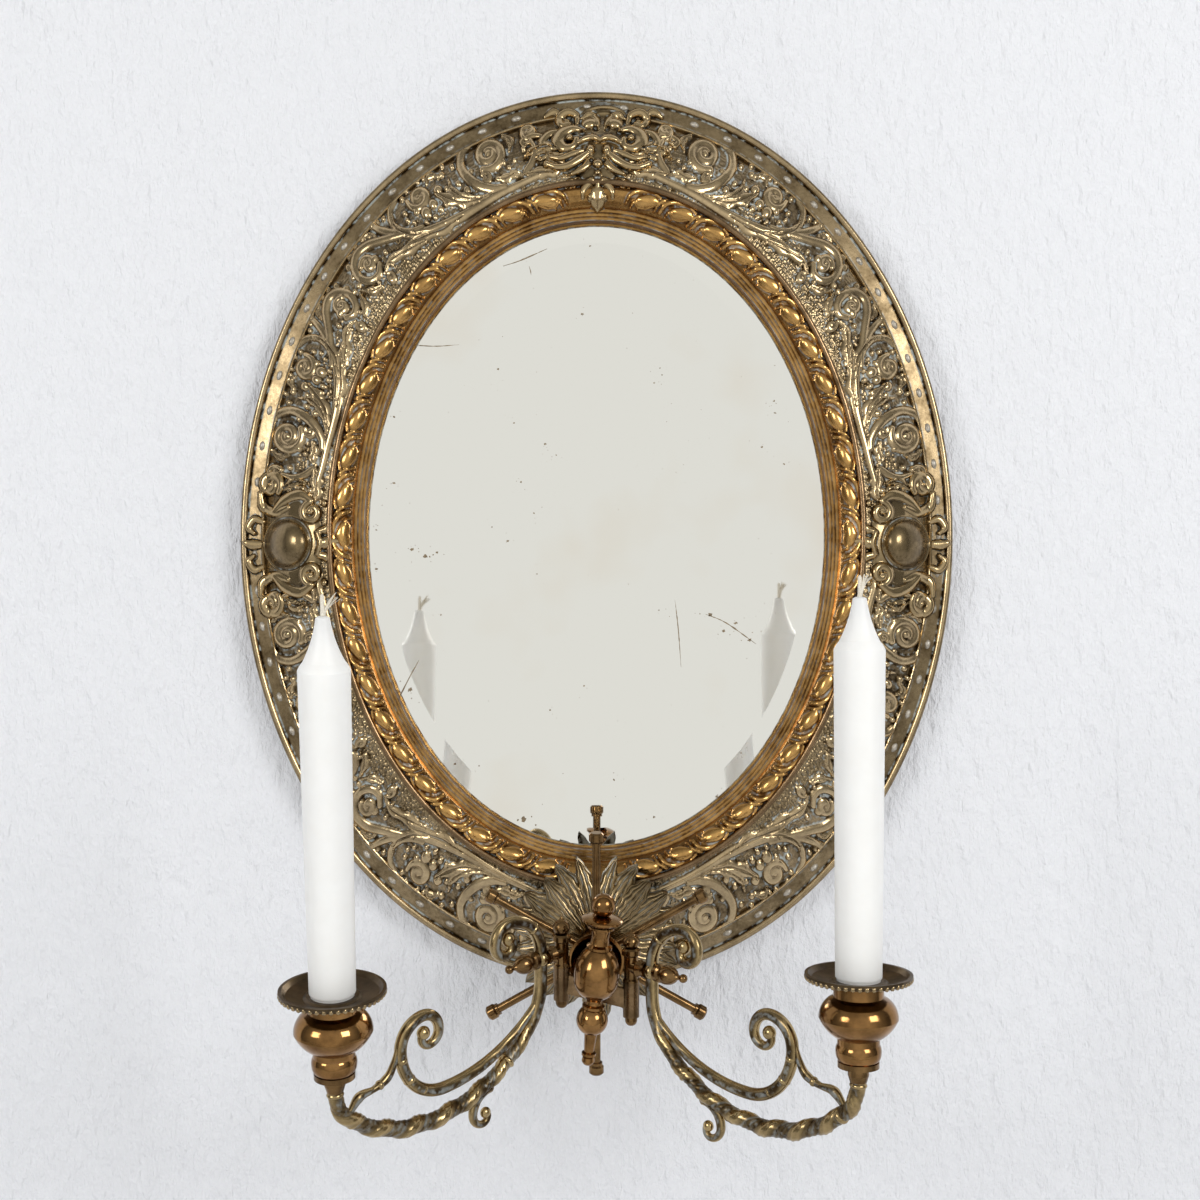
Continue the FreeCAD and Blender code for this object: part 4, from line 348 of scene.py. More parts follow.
# %% A height map to emboss
class Relief:
    """Heights over a flat field, raised by strokes and touches of a round punch."""

    def __init__(self, width, height, left=0.0, bottom=0.0, cell=0.5, fat=1.0):
        self.left, self.bottom, self.cell, self.fat = left, bottom, cell, fat
        self.map = np.zeros((int(height / cell) + 1, int(width / cell) + 1))
        self.grooves = np.zeros_like(self.map)

    def near(self, x, y, reach):
        """The cells around a point, and how far up and across each lies from it."""
        rows, cols = (slice(max(int((at - start - reach) / self.cell), 0),
                            max(min(int((at - start + reach) / self.cell) + 2, size), 0))
                      for at, start, size in ((y, self.bottom, self.map.shape[0]),
                                              (x, self.left, self.map.shape[1])))
        down = np.arange(rows.start, rows.stop) * self.cell + self.bottom - y
        over = np.arange(cols.start, cols.stop) * self.cell + self.left - x
        return (rows, cols), down[:, None], over[None, :]

    def touch(self, x, y, radius, rise, squash=1.0, lean=0.0, sharp=0.5):
        """Raise a round or oval bead."""
        cells, down, over = self.near(x, y, radius * max(1.0, squash))
        c, s = math.cos(lean), math.sin(lean)
        along, side = over * c + down * s, -over * s + down * c
        share = (along / (radius * squash)) ** 2 + (side / radius) ** 2
        self.map[cells] = np.maximum(self.map[cells], rise * np.clip(1 - share, 0, 1) ** sharp)

    def stroke(self, points, rise, radii, groove=0.0):
        """Raise a stem along a smooth curve; radii swell and thin along it."""
        path = flowing(points, self.cell)
        widths = np.interp(np.linspace(0, 1, len(path)),
                           np.linspace(0, 1, len(radii)), radii)
        for (x, y), radius in zip(path, widths * self.fat):
            self.touch(x, y, radius, rise * min(1.0, radius / 2.2) ** 0.5)
        if groove:
            for (x, y), radius in zip(path[2:-2], widths[2:-2]):
                self.sink(x, y, radius * 0.34, groove)

    def sink(self, x, y, radius, share):
        """Press a narrow groove into what is already raised."""
        cells, down, over = self.near(x, y, radius)
        depth = share * np.clip(1 - (down ** 2 + over ** 2) / radius ** 2, 0, 1)
        self.grooves[cells] = np.maximum(self.grooves[cells], depth)

    def leaf(self, points, width, rise, lobes=4):
        """A curling leaf: a swelling stroke with a midrib groove and lobed edges."""
        path = flowing(points, self.cell)
        count = len(path)
        share = np.linspace(0, 1, count)
        swell = width * np.sin(np.pi * share ** 0.75) ** 0.8 + 0.5
        swell *= 1 + 0.18 * np.cos(2 * np.pi * lobes * share)
        for (x, y), radius in zip(path, swell):
            self.touch(x, y, radius, rise)
        for (x, y), radius in zip(path[2:-2], swell[2:-2]):
            self.sink(x, y, max(radius * 0.25, 0.7), 0.45)
        ways = heading(path)
        for k in range(lobes * 2):
            spot = int((k + 0.6) / (lobes * 2) * (count - 1))
            way, reach = ways[spot], 0.75 * swell[spot]
            vein = np.array([-way[1], way[0]]) * (1 if k % 2 else -1) + way * 0.9
            for step in np.linspace(0.1, 0.95, 6):
                self.sink(*(path[spot] + vein * reach * step), 0.55, 0.3)

    def spiral(self, x, y, outer, inner, start, turns, rise, radii, hand=1):
        """A scroll that winds in towards its eye; start is in degrees."""
        start = 180 - start if hand < 0 else start
        angle = math.radians(start) + hand * np.linspace(0, turns * 2 * math.pi, 28)
        reach = outer + (inner - outer) * np.linspace(0, 1, 28) ** 0.8
        points = np.stack([x + reach * np.cos(angle), y + reach * np.sin(angle)], axis=-1)
        self.stroke(points, rise, radii)
        self.touch(x, y, max(inner * 1.2, 2.0), rise * 1.1)

    def done(self):
        """Press the grooves into the finished heights."""
        self.map *= 1 - self.grooves
        return self

    def shade(self, reach=3.0):
        """How each point stands against its surroundings: 0 a hollow, 1 a top."""
        span, local = int(reach / self.cell), self.map
        for axis in (0, 1):
            margin = [(span + 1, span) if a == axis else (0, 0) for a in (0, 1)]
            total = np.moveaxis(np.cumsum(np.pad(local, margin, mode="edge"), axis=axis), axis, 0)
            local = np.moveaxis(total[2 * span + 1:] - total[:-2 * span - 1], 0, axis)
            local = local / (2 * span + 1)
        return np.clip(0.42 + 0.42 * (self.map - local) + 0.10 * self.map, 0, 1)

    def at(self, x, y, field=None):
        """Heights, or another field, at any points, read between the cells."""
        x, y = np.broadcast_arrays(x, y)
        col = np.clip((x - self.left) / self.cell, 0, self.map.shape[1] - 1.001)
        row = np.clip((y - self.bottom) / self.cell, 0, self.map.shape[0] - 1.001)
        c, r = col.astype(int), row.astype(int)
        fc, fr = col - c, row - r
        m = self.map if field is None else field
        return (m[r, c] * (1 - fc) * (1 - fr) + m[r, c + 1] * fc * (1 - fr)
                + m[r + 1, c] * (1 - fc) * fr + m[r + 1, c + 1] * fc * fr)


# %% [markdown]
# One step of the ornament is 0.53 mm along the oval. Its rows run from 46 at the ridge
# wire to 106 at the raised line by the rim. The half pattern below has, from the end of
# the oval to the middle of a quarter: a stalked bud, a large scroll with its leaf arc, a
# flower with berries, a long rising stem and a small leafy scroll.

# %% The scroll ornament of the wide band
STEP = 0.532                    # millimetres along the oval in one step of the ornament
BAND_START, BAND_WIDTH = 13.4, 36.6
ROW_TOP, ROW_FOOT = 106.0, 47.0
MIRROR_AT, MIRROR_SHARE = 281.0, 0.87


def half_ornament(relief, far):
    """Draw the half pattern; far is the mirrored one beyond the middle."""
    def place(x):
        return MIRROR_AT + (MIRROR_AT - x) * MIRROR_SHARE if far else x

    def stem(points, rise, radii):
        relief.stroke([(place(x), y) for x, y in points], rise, radii)

    def leaf(points, width, rise, lobes):
        relief.leaf([(place(x), y) for x, y in points], width, rise, lobes)

    def bead(x, y, radius, rise):
        relief.touch(place(x), y, radius, rise)

    hand = -1 if far else 1
    # long rising stem with its leaf
    stem([(58, 56), (78, 54), (100, 53), (128, 52), (152, 53), (178, 58), (202, 68), (216, 82),
          (224, 95), (228, 106)], 2.0, (2.0, 2.4, 2.6, 3.2, 3.4, 3.0, 2.4))
    leaf([(150, 52), (176, 55), (196, 61), (212, 66), (222, 62)], 5.0, 1.7, 3)
    bead(228, 106, 4.2, 2.6)
    # stalked bud beside the end
    relief.spiral(place(62), 98, 7.5, 2.0, -60, 1.1, 2.4, (1.6, 2.4, 2.2), hand)
    stem([(62, 90), (60, 80), (64, 70), (72, 62)], 1.9, (1.8, 2.4, 3.0))
    leaf([(74, 60), (58, 58), (44, 56), (30, 60)], 5.0, 2.0, 3)
    bead(47, 61, 4.0, 2.6)
    leaf([(48, 84), (40, 78), (32, 80)], 3.2, 1.8, 2)
    leaf([(50, 76), (42, 70), (30, 70)], 3.2, 1.8, 2)
    # large scroll in its arc
    relief.spiral(place(103), 91, 15.5, 3.5, -130, 1.65, 2.4, (2.6, 3.0, 3.4, 3.0, 2.4), -hand)
    stem([(118, 110), (126, 104), (131, 93), (129, 80), (122, 68), (110, 59), (98, 56)], 2.2,
         (2.6, 3.0, 3.4, 3.6, 3.4, 2.6))
    bead(118, 109, 3.6, 2.5)
    relief.spiral(place(113), 70, 5.5, 1.6, 60, 1.0, 2.0, (1.5, 2.0, 1.6), hand)
    leaf([(104, 66), (94, 63), (84, 64), (76, 60)], 4.2, 1.9, 3)
    bead(88, 71, 2.8, 1.8)
    bead(81, 76, 2.2, 1.6)
    # veined leaf between the scroll and the flower
    leaf([(164, 86), (156, 74), (146, 64), (132, 58), (112, 55)], 5.6, 2.1, 4)
    bead(160, 86, 5.0, 2.7)
    leaf([(153, 96), (160, 103), (167, 98)], 3.0, 2.0, 2)
    bead(166, 104, 2.4, 2.0)
    # flower with petals and berries
    stem([(199, 107), (208, 102), (213, 92), (210, 80), (202, 72), (192, 68)], 1.9,
         (2.2, 2.2, 2.4, 2.4, 2.0))
    relief.spiral(place(179), 92, 11.5, 2.5, 160, 1.4, 2.4, (2.0, 2.8, 3.2, 2.6), -hand)
    for x, y, r in ((181, 76, 6.0), (171, 78, 5.0), (188, 83, 3.6), (198, 90, 2.8),
                    (200, 83, 2.6), (196, 77, 2.4), (167, 70, 3.4), (176, 67, 3.2),
                    (186, 69, 2.8), (172, 106, 2.6), (185, 107, 2.4), (152, 82, 3.0)):
        bead(x, y, r, 1.3 + r * 0.24)
    # small leafy scroll
    stem([(205, 72), (218, 80), (230, 88), (243, 97), (256, 100), (267, 94), (271, 83),
          (266, 73), (256, 70), (248, 75)], 2.1, (2.2, 2.6, 3.0, 3.4, 3.2, 2.8, 2.0))
    for x, y, r in ((248, 82, 4.4), (257, 81, 3.6), (252, 89, 3.0), (270, 99, 3.6),
                    (263, 104, 2.6), (243, 106, 2.6), (274, 90, 2.4), (262, 66, 2.6),
                    (236, 78, 3.0), (233, 70, 2.6), (276, 80, 2.2), (240, 66, 2.4)):
        bead(x, y, r, 1.3 + r * 0.22)
    relief.spiral(place(250), 59, 5.0, 1.4, 90, 0.9, 1.9, (1.4, 2.4, 2.2), hand)
    leaf([(232, 95), (236, 102), (246, 104)], 2.6, 1.8, 2)
    # leaves and berries that fill the ground between
    leaf([(28, 58), (44, 66), (52, 78)], 4.6, 2.0, 3)
    leaf([(126, 57), (140, 65), (148, 77), (146, 90)], 4.4, 2.0, 3)
    leaf([(190, 60), (206, 71), (213, 86), (208, 98)], 4.2, 2.0, 3)
    leaf([(198, 57), (220, 64), (238, 69), (252, 66)], 4.6, 1.9, 3)
    leaf([(262, 61), (272, 66), (280, 76)], 3.6, 1.8, 2)
    leaf([(86, 104), (80, 96), (84, 86)], 3.4, 1.7, 2)
    for x, y, r in ((135, 70, 4.0), (140, 80, 3.2), (138, 98, 3.0), (150, 97, 3.2),
                    (146, 104, 2.6), (92, 78, 3.0), (124, 84, 2.8), (70, 84, 2.8),
                    (236, 92, 2.8), (243, 99, 3.0), (252, 104, 3.0), (261, 103, 3.0),
                    (269, 97, 3.0), (275, 89, 2.8), (278, 80, 2.6), (216, 102, 2.8),
                    (222, 104, 2.2), (192, 103, 2.6), (160, 70, 3.0), (228, 88, 2.6)):
        bead(x, y, r, 1.3 + r * 0.2)
    relief.spiral(place(256), 84, 8.0, 1.8, 30, 1.2, 2.2, (2.0, 2.8, 2.2), hand)


def band_relief():
    relief = Relief(560.0, 136.0, fat=1.5)
    for far in (False, True):
        half_ornament(relief, far)
    relief.done()
    chance = np.random.default_rng(7)
    dots = Relief(560.0, 136.0)
    for row in np.arange(ROW_FOOT + 0.5, ROW_TOP - 1.0, 2.5):
        for x in np.arange(0.0, 548.0, 2.7):
            dots.touch(x + chance.uniform(-0.8, 0.8), row + chance.uniform(-0.8, 0.8),
                       chance.uniform(1.0, 1.45), 0.5 if row < 78 else 0.16)
    relief.map = np.maximum(relief.map, dots.map)
    return relief


BAND = band_relief()
BAND_SHADE = BAND.shade()
print("band relief: highest", round(float(BAND.map.max()), 2), "mm")

# %% [markdown]
# The section of the moulding, from the skirt at the wall over the rolled rim, the flat
# bead band, the raised line and the slope up to the ridge. Each quarter of the cover is
# a sheet of its own, as on the real frame, whose seams hide under the applied castings.

# %% The embossed cover
def dense(section, spacing):
    """Points along a section at an even spacing, its corners kept."""
    section = np.asarray(section, float)
    out = [section[:1]]
    for start, end in zip(section, section[1:]):
        count = max(1, int(round(np.linalg.norm(end - start) / spacing)))
        out.append(start + (end - start) * np.linspace(0, 1, count + 1)[1:, None])
    return np.vstack(out)


def facing(section):
    """The direction that each point of a section faces: across and forward."""
    way = heading(section)
    return np.stack([-way[:, 1], way[:, 0]], axis=-1)


RIM = [(1.0, 5.5), (0.0, 5.5), (0.0, 10.4), (0.2, 11.6), (0.8, 12.5), (2.0, 12.9),
       (3.2, 12.5), (3.8, 11.6), (4.0, 10.8)]
BEAD_BAND = [(11.4, 13.2)]
LINE = [(11.7, 14.2), (12.4, 14.6), (13.1, 14.2), (13.4, 13.2)]
slope_share = np.linspace(0, 1, 13)[1:]
slope_rise = np.interp(slope_share, (0, 0.2, 0.4, 0.6, 0.8, 1), (0, 0.27, 0.52, 0.73, 0.89, 1))
SLOPE = list(zip(BAND_START + BAND_WIDTH * slope_share, 13.2 + 23.4 * slope_rise))
RIDGE_SEAT = [(51.9, 36.6), (51.9, 35.6)]
COVER = np.vstack([dense(RIM, 0.7), dense([RIM[-1]] + BEAD_BAND, 0.8)[1:],
                   dense([BEAD_BAND[0]] + LINE, 0.45)[1:],
                   dense([LINE[-1]] + SLOPE, 0.42)[1:],
                   dense([SLOPE[-1]] + RIDGE_SEAT, 0.8)[1:]])
COLUMNS = 620


def lifted(section, height, angle, right=1.0, up=1.0):
    """A section carried round the oval, its points lifted the way they face."""
    out = facing(section)
    return oval_points(angle, section[:, :1] + out[:, :1] * height,
                       section[:, 1:] + out[:, 1:] * height, right, up)


def edge_shade(inset):
    """Wear of the plain edge: rubbed on the rolled rim and the line, dull between."""
    return np.interp(inset, (0, 1, 3.4, 4.0, 4.6, 5.2, 10.6, 11.4, 12.4, 13.4, 13.8),
                     (0.3, 0.55, 0.6, 0.12, 0.3, 0.42, 0.38, 0.3, 0.95, 0.25, 0.4))


def cover_quarter(name, right, up):
    along = np.linspace(0, QUARTER, COLUMNS)
    inset = COVER[:, :1]
    rows = ROW_TOP - (inset - BAND_START) / BAND_WIDTH * (ROW_TOP - ROW_FOOT)
    edge = np.clip((inset - BAND_START + 0.4) / 0.8, 0, 1) * np.clip((50.0 - inset) / 0.8, 0, 1)
    points = lifted(COVER, BAND.at(along / STEP, rows) * edge,
                    np.interp(along, WALK, TURN)[None, :], right, up)
    shade = np.where(edge > 0, BAND.at(along / STEP, rows, BAND_SHADE), edge_shade(inset))
    faces = grid_faces(len(COVER), COLUMNS)
    if right * up > 0:
        faces = faces[:, ::-1]
    make_piece(name, points, [faces], EMBOSSED, "mirror",
               ("embossed_cover",), shade, close=False)


for name, right, up in (("cover_upper_right", 1, 1), ("cover_upper_left", -1, 1),
                        ("cover_lower_right", 1, -1), ("cover_lower_left", -1, -1)):
    cover_quarter(name, right, up)

# %% [markdown]
# The sight slip is a second, warmer sheet: a rolled band of slanting gadroons, each a
# curled lobe with two slashes beside it, and three fillets that step down to the glass.

# %% The sight slip
GADROON_PITCH = 42.7
SLIP = np.vstack([dense([(51.9, 35.6), (51.9, 36.6), (53.8, 36.6)], 0.7),
                  dense([(53.8, 36.6), (54.2, 38.0), (55.8, 39.0), (58.2, 38.6), (60.7, 36.8),
                         (62.6, 34.2), (63.6, 31.2)], 0.36)[1:],
                  dense([(63.6, 31.2), (65.25, 31.2), (65.25, 30.0), (66.9, 30.0),
                         (66.9, 28.8), (68.55, 28.8), (68.55, 27.6), (67.5, 27.0)], 0.55)[1:]])


def slip_relief():
    relief = Relief(560.0, 46.0)
    for unit in range(12):
        x = 55.0 + GADROON_PITCH * unit
        relief.touch(x + 3, 26.5, 7.2, 2.2, 2.1, 0.3)
        relief.stroke([(x - 21, 20), (x - 16, 30), (x - 6, 36), (x + 8, 37.5), (x + 19, 34)],
                      1.5, (1.2, 2.2, 2.7, 2.4, 1.4))
        relief.stroke([(x - 15, 18), (x - 11, 24), (x - 4, 22), (x - 7, 17.5)], 1.9,
                      (1.2, 1.9, 1.6, 1.0))
        for shift in (19.5, 25.0):
            relief.stroke([(x + shift - 6, 19), (x + shift - 1, 29), (x + shift + 7, 36)],
                          1.4, (1.3, 2.2, 1.3))
    return relief.done()


SLIP_MAP = slip_relief()
slip_columns = 1536
walk_all = np.linspace(0, 4 * QUARTER, slip_columns, endpoint=False)
from_end = np.where((walk_all // QUARTER) % 2 == 0, walk_all % QUARTER,
                    QUARTER - walk_all % QUARTER)
quarter_angle = np.interp(from_end, WALK, TURN)
right_sign = np.where(walk_all < 2 * QUARTER, 1.0, -1.0)
up_sign = np.where((walk_all < QUARTER) | (walk_all >= 3 * QUARTER), 1.0, -1.0)
inset = SLIP[:, :1]
rows = 37.0 - (inset - 54.0) / 9.4 * 22.0
inside = np.clip((inset - 53.8) / 0.5, 0, 1) * np.clip((63.5 - inset) / 0.6, 0, 1)
slip_points = lifted(SLIP, SLIP_MAP.at(from_end / STEP, rows) * inside,
                     quarter_angle[None, :], right_sign, up_sign)
slip_shade = SLIP_MAP.at(from_end / STEP, rows, SLIP_MAP.shade(2.5))
fillet_wear = np.interp(inset, (63.4, 63.7, 64.9, 65.3, 66.6, 67.0, 68.2, 68.6),
                        (0.2, 0.5, 0.75, 0.3, 0.75, 0.3, 0.8, 0.2))
slip_shade = np.where(inside > 0, slip_shade, fillet_wear * 0.75)
slip_faces = grid_faces(len(SLIP), slip_columns, True)[:, ::-1]
make_piece("gadroon_slip", slip_points, [slip_faces], GILT,
           "mirror", ("sight_slip",), slip_shade, close=False)

# %% [markdown]
# The slots of the bead band hold small raised ovals, evenly spaced round the whole frame.
# Geometry Nodes lay them: one oval curve is cut into equal lengths, a small dome is put
# at each cut and turned along the oval, and the copies are made real.

# %% Node group that repeats a small shape along an oval
def socket(group, name, kind, value=None):
    item = group.interface.new_socket(name=name, in_out="INPUT", socket_type=kind)
    if value is not None:
        item.default_value = value
    return item.identifier


def oval_row_group():
    """Copies of an object's mesh at even spacing along an upright oval."""
    group = bpy.data.node_groups.new("row_along_oval", "GeometryNodeTree")
    group.interface.new_socket(name="Geometry", in_out="OUTPUT", socket_type="NodeSocketGeometry")
    keys = {
        "count": socket(group, "Count", "NodeSocketInt", 60),
        "half_width": socket(group, "Half Width", "NodeSocketFloat", 0.18),
        "half_height": socket(group, "Half Height", "NodeSocketFloat", 0.22),
        "depth": socket(group, "Depth", "NodeSocketFloat", 0.012),
        "shape": socket(group, "Shape", "NodeSocketObject"),
        "material": socket(group, "Material", "NodeSocketMaterial")}
    start = add(group, "NodeGroupInput").outputs
    ring = add(group, "GeometryNodeCurvePrimitiveCircle", {"Resolution": 512, "Radius": 1.0})
    place = add(group, "GeometryNodeInputPosition").outputs[0]
    split = add(group, "ShaderNodeSeparateXYZ", {0: place}).outputs
    wide = maths(group, "MULTIPLY", split["X"], start["Half Width"])
    tall = maths(group, "MULTIPLY", split["Y"], start["Half Height"])
    front = maths(group, "MULTIPLY", start["Depth"], -1.0)
    spot = add(group, "ShaderNodeCombineXYZ", {0: wide, 1: front, 2: tall}).outputs[0]
    oval = add(group, "GeometryNodeSetPosition", {"Geometry": ring.outputs[0], "Position": spot})
    even = add(group, "GeometryNodeCurveToPoints", {
        "Curve": oval.outputs[0], "Count": start["Count"]}, mode="COUNT")
    turn = add(group, "FunctionNodeAlignEulerToVector", {
        "Vector": even.outputs["Tangent"]}, axis="X", pivot_axis="Y")
    shape = add(group, "GeometryNodeObjectInfo", {"Object": start["Shape"]})
    copies = add(group, "GeometryNodeInstanceOnPoints", {
        "Points": even.outputs["Points"], "Instance": shape.outputs["Geometry"],
        "Rotation": turn.outputs[0]})
    real = add(group, "GeometryNodeRealizeInstances", {"Geometry": copies.outputs[0]})
    painted = add(group, "GeometryNodeSetMaterial", {
        "Geometry": real.outputs[0], "Material": start["Material"]})
    add(group, "NodeGroupOutput", {0: painted.outputs[0]})
    return group, keys


OVAL_ROW, OVAL_KEYS = oval_row_group()


def realised(name, group, values, body):
    """Run a node group and keep its result as a plain mesh piece."""
    holder = in_scene(name + "_nodes", bpy.data.meshes.new(name + "_nodes"))
    modifier = holder.modifiers.new("nodes", "NODES")
    modifier.node_group = group
    for key, value in values.items():
        modifier[key] = value
    graph = bpy.context.evaluated_depsgraph_get()
    mesh = bpy.data.meshes.new_from_object(holder.evaluated_get(graph), depsgraph=graph)
    bpy.data.objects.remove(holder)
    mesh.name = name
    mount(name, mesh, body, ())


def small_dome(length, width, height, sink=0.3):
    """A low oval dome, its long way along X and its top towards the room."""
    rings, columns = 5, 16
    lift = np.linspace(0, math.pi / 2, rings)[:, None]
    round_it = circle(columns)[None, :]
    points = np.stack([length / 2 * np.cos(lift) * np.cos(round_it),
                       -(height * np.sin(lift) - sink) + 0 * round_it,
                       width / 2 * np.cos(lift) * np.sin(round_it)], axis=-1) * MM
    mesh = bpy.data.meshes.new("dome")
    mesh.from_pydata(points.reshape(-1, 3).tolist(), [],
                     grid_faces(rings, columns, True).tolist())
    weld(mesh, 1e-6)
    return bpy.data.objects.new("dome", mesh)


BEAD_INSET, BEAD_COUNT = 7.9, 67
bead_a, bead_b = semi_axes(BEAD_INSET)
CHALKED = plain("chalk_rubbed_brass", "#cdc9c0", "#857760", 1.6, 0.4, 0.45)
realised("edge_beads", OVAL_ROW, {
    OVAL_KEYS["count"]: BEAD_COUNT, OVAL_KEYS["half_width"]: float(bead_a) * MM,
    OVAL_KEYS["half_height"]: float(bead_b) * MM, OVAL_KEYS["depth"]: 12.0 * MM,
    OVAL_KEYS["shape"]: small_dome(5.4, 3.3, 1.7), OVAL_KEYS["material"]: CHALKED},
    "mirror")

# %% [markdown]
# Three castings lie on the moulding: the foliate mask at the top and a smooth boss at
# each side. Each is drawn as a height map over a flat rectangle and laid on the curved
# moulding below it. Where the map is empty the sheet would lie inside the moulding, so
# those faces are left out.

# %% Laying a casting on the moulding
def inset_at(x, z):
    """How far in from the outer oval a point lies, by halving the span 14 times."""
    low, high = np.zeros_like(x), np.full_like(x, 75.0)
    for _ in range(14):
        middle = (low + high) / 2
        a, b = semi_axes(middle)
        outside = (x / a) ** 2 + (z / b) ** 2 > 1
        high = np.where(outside, middle, high)
        low = np.where(outside, low, middle)
    return (low + high) / 2


GROUND = np.array([(0, 8), (1, 12.4), (5, 12.6), *[q for q in COVER if q[0] > 13.3],
                   (60.7, 36.0), (63.6, 31.2), (68.5, 27.6), (75, 27.6)])


def laid_casting(name, relief, replaced, smooth=None):
    heights, shade = relief.map, relief.shade(2.4) - 0.05
    rows, columns = heights.shape
    x = (relief.left + np.arange(columns) * relief.cell)[None, :] + np.zeros((rows, 1))
    z = (relief.bottom + np.arange(rows) * relief.cell)[:, None] + np.zeros((1, columns))
    depth = np.interp(inset_at(x, z), GROUND[:, 0], GROUND[:, 1]) + heights - 0.5
    if smooth:
        shade = np.where(np.hypot(x - smooth[0], z - smooth[1]) < smooth[2], 0.42, shade)
    points = np.stack([x, -depth, z], axis=-1) * MM
    faces = grid_faces(rows, columns)
    faces = faces[heights.ravel()[faces].max(axis=1) > 0.05]
    used, faces = np.unique(faces, return_inverse=True)
    make_piece(name, points.reshape(-1, 3)[used], [faces.reshape(-1, 4)], CAST,
               "mirror", replaced, shade.ravel()[used], close=False)


# %% [markdown]
# The mask is a grotesque of leaves, nearly the same on both sides of its middle: two
# lobes over the brow with a small scroll beside each, rolled cheeks, a drop at each side
# of the nose, swags that sweep down and out to a ball each, a square tongue, two ribs
# that spread to the ridge and a pointed trefoil at the foot.

# %% The crest mask
def crest_relief():
    relief = Relief(96.0, 66.0, -46.0, 166.0, 0.4, fat=1.5)

    def middle(z):
        return 0.6 + max(0.0, z - 196.0) * 0.11

    for z, radius, rise, squash in ((214, 17, 2.8, 1.3), (205, 15, 3.2, 1.3), (196, 10, 3.4, 1.0),
                                    (189, 11, 2.8, 1.1), (181, 7, 2.6, 1.0), (174, 6, 2.4, 1.0)):
        relief.touch(middle(z), z, radius, rise, squash, 0.0, 0.8)
    for side in (-1, 1):
        def both(points):
            return [(middle(z) + side * x, z) for x, z in points]

        def stem(points, rise, radii):
            relief.stroke(both(points), rise, radii)

        def knob(x, z, radius, rise, squash=1.0, lean=0.0, sharp=0.6):
            relief.touch(middle(z) + side * x, z, radius, rise, squash, side * lean, sharp)

        for reach in (11.5, 15.5):
            arc = [(reach * math.sin(t), 215 + reach * 0.84 * math.cos(t))
                   for t in np.linspace(0, 1.2, 7)]
            relief.stroke(both(arc), 2.9, (0.9, 1.0, 0.8))
        knob(6.6, 218.4, 5.0, 5.8, 1.15, -0.5)
        stem([(2.0, 214.6), (3.4, 220.4), (7.4, 223.4), (11.4, 221.2)], 5.0,
             (1.0, 1.7, 1.8, 1.0))
        stem([(13.2, 218.0), (14.6, 223.2), (19.4, 224.8), (23.0, 221.6), (21.4, 217.4),
              (17.8, 218.0)], 4.4, (1.1, 1.8, 2.1, 2.0, 1.4))
        stem([(22, 223), (26.4, 225.2), (31, 222.6)], 3.0, (1.1, 1.9, 0.9))
        knob(19.0, 219.6, 2.2, 4.8)
        stem([(10.0, 213.0), (15.4, 214.6), (20.6, 211.6), (21.6, 206.2), (17.8, 202.2),
              (13.2, 203.6), (12.4, 207.6)], 5.2, (1.3, 2.3, 2.9, 3.0, 2.6, 2.0, 1.5))
        knob(16.2, 208.2, 2.9, 6.6)
        stem([(22.6, 213.6), (27.4, 211.8), (30.2, 207.2), (28.8, 203.0)], 3.8,
             (1.2, 2.0, 2.0, 1.2))
        stem([(0.2, 206.4), (3.6, 208.4), (7.6, 207.4), (10.8, 205.0)], 6.0,
             (1.2, 1.9, 1.8, 1.1))
        knob(4.2, 200.6, 3.1, 6.8, 1.35, 1.35)
        stem([(5.4, 198.6), (9.6, 195.0), (15.2, 191.4), (21.0, 190.4), (25.6, 192.0)], 5.0,
             (1.6, 2.2, 2.0, 1.7, 1.4))
        stem([(8.0, 200.4), (13.4, 198.4), (19.4, 195.8), (24.6, 196.6)], 4.4,
             (1.2, 1.9, 1.6, 1.0))
        knob(26.4, 192.6, 2.7, 5.0)
        relief.leaf(both([(22.0, 202.0), (28.4, 203.6), (34.4, 201.2), (38.6, 196.8)]), 3.4,
                    3.4, 3)
        relief.leaf(both([(24.0, 198.6), (29.6, 198.0), (34.0, 194.6)]), 2.8, 3.0, 2)
        stem([(30, 210.4), (36, 211.6), (41.0, 208.4), (39.6, 204.6)], 3.0,
             (1.2, 1.8, 1.6, 1.2))
        knob(38.0, 206.4, 2.2, 3.6)
        stem([(3.6, 196.6), (5.4, 191.8), (9.2, 188.6), (13.4, 186.6)], 4.4,
             (1.4, 1.9, 1.7, 1.0))
        stem([(1.6, 183.6), (4.6, 181.4), (7.4, 177.8), (7.8, 174.4)], 4.4,
             (1.2, 2.1, 1.9, 1.0))
        relief.leaf(both([(9.6, 184.0), (13.4, 181.6), (16.6, 177.4)]), 2.6, 3.2, 2)
        relief.sink(middle(214.0) + side * 3.0, 214.0, 2.0, 0.5)
        relief.sink(middle(211.0) + side * 9.4, 211.4, 1.9, 0.4)
        relief.sink(middle(194.0) + side * 3.4, 194.0, 1.5, 0.4)
    relief.touch(middle(192.4), 192.2, 3.0, 5.8, 1.0, 0.0, 0.3)
    relief.stroke([(0.6, 187.0), (0.6, 181.0), (0.5, 175.6)], 4.6, (1.6, 1.5, 2.0))
    relief.stroke([(0.5, 176.6), (0.5, 172.6), (0.4, 168.4)], 5.0, (3.4, 2.8, 0.6))
    for side in (-1, 1):
        relief.touch(0.5 + side * 3.6, 174.6, 2.4, 4.4)
    relief.sink(0.6, 184.2, 2.4, 0.6)
    return relief.done()


laid_casting("crest_mask", crest_relief(), ("crest",))

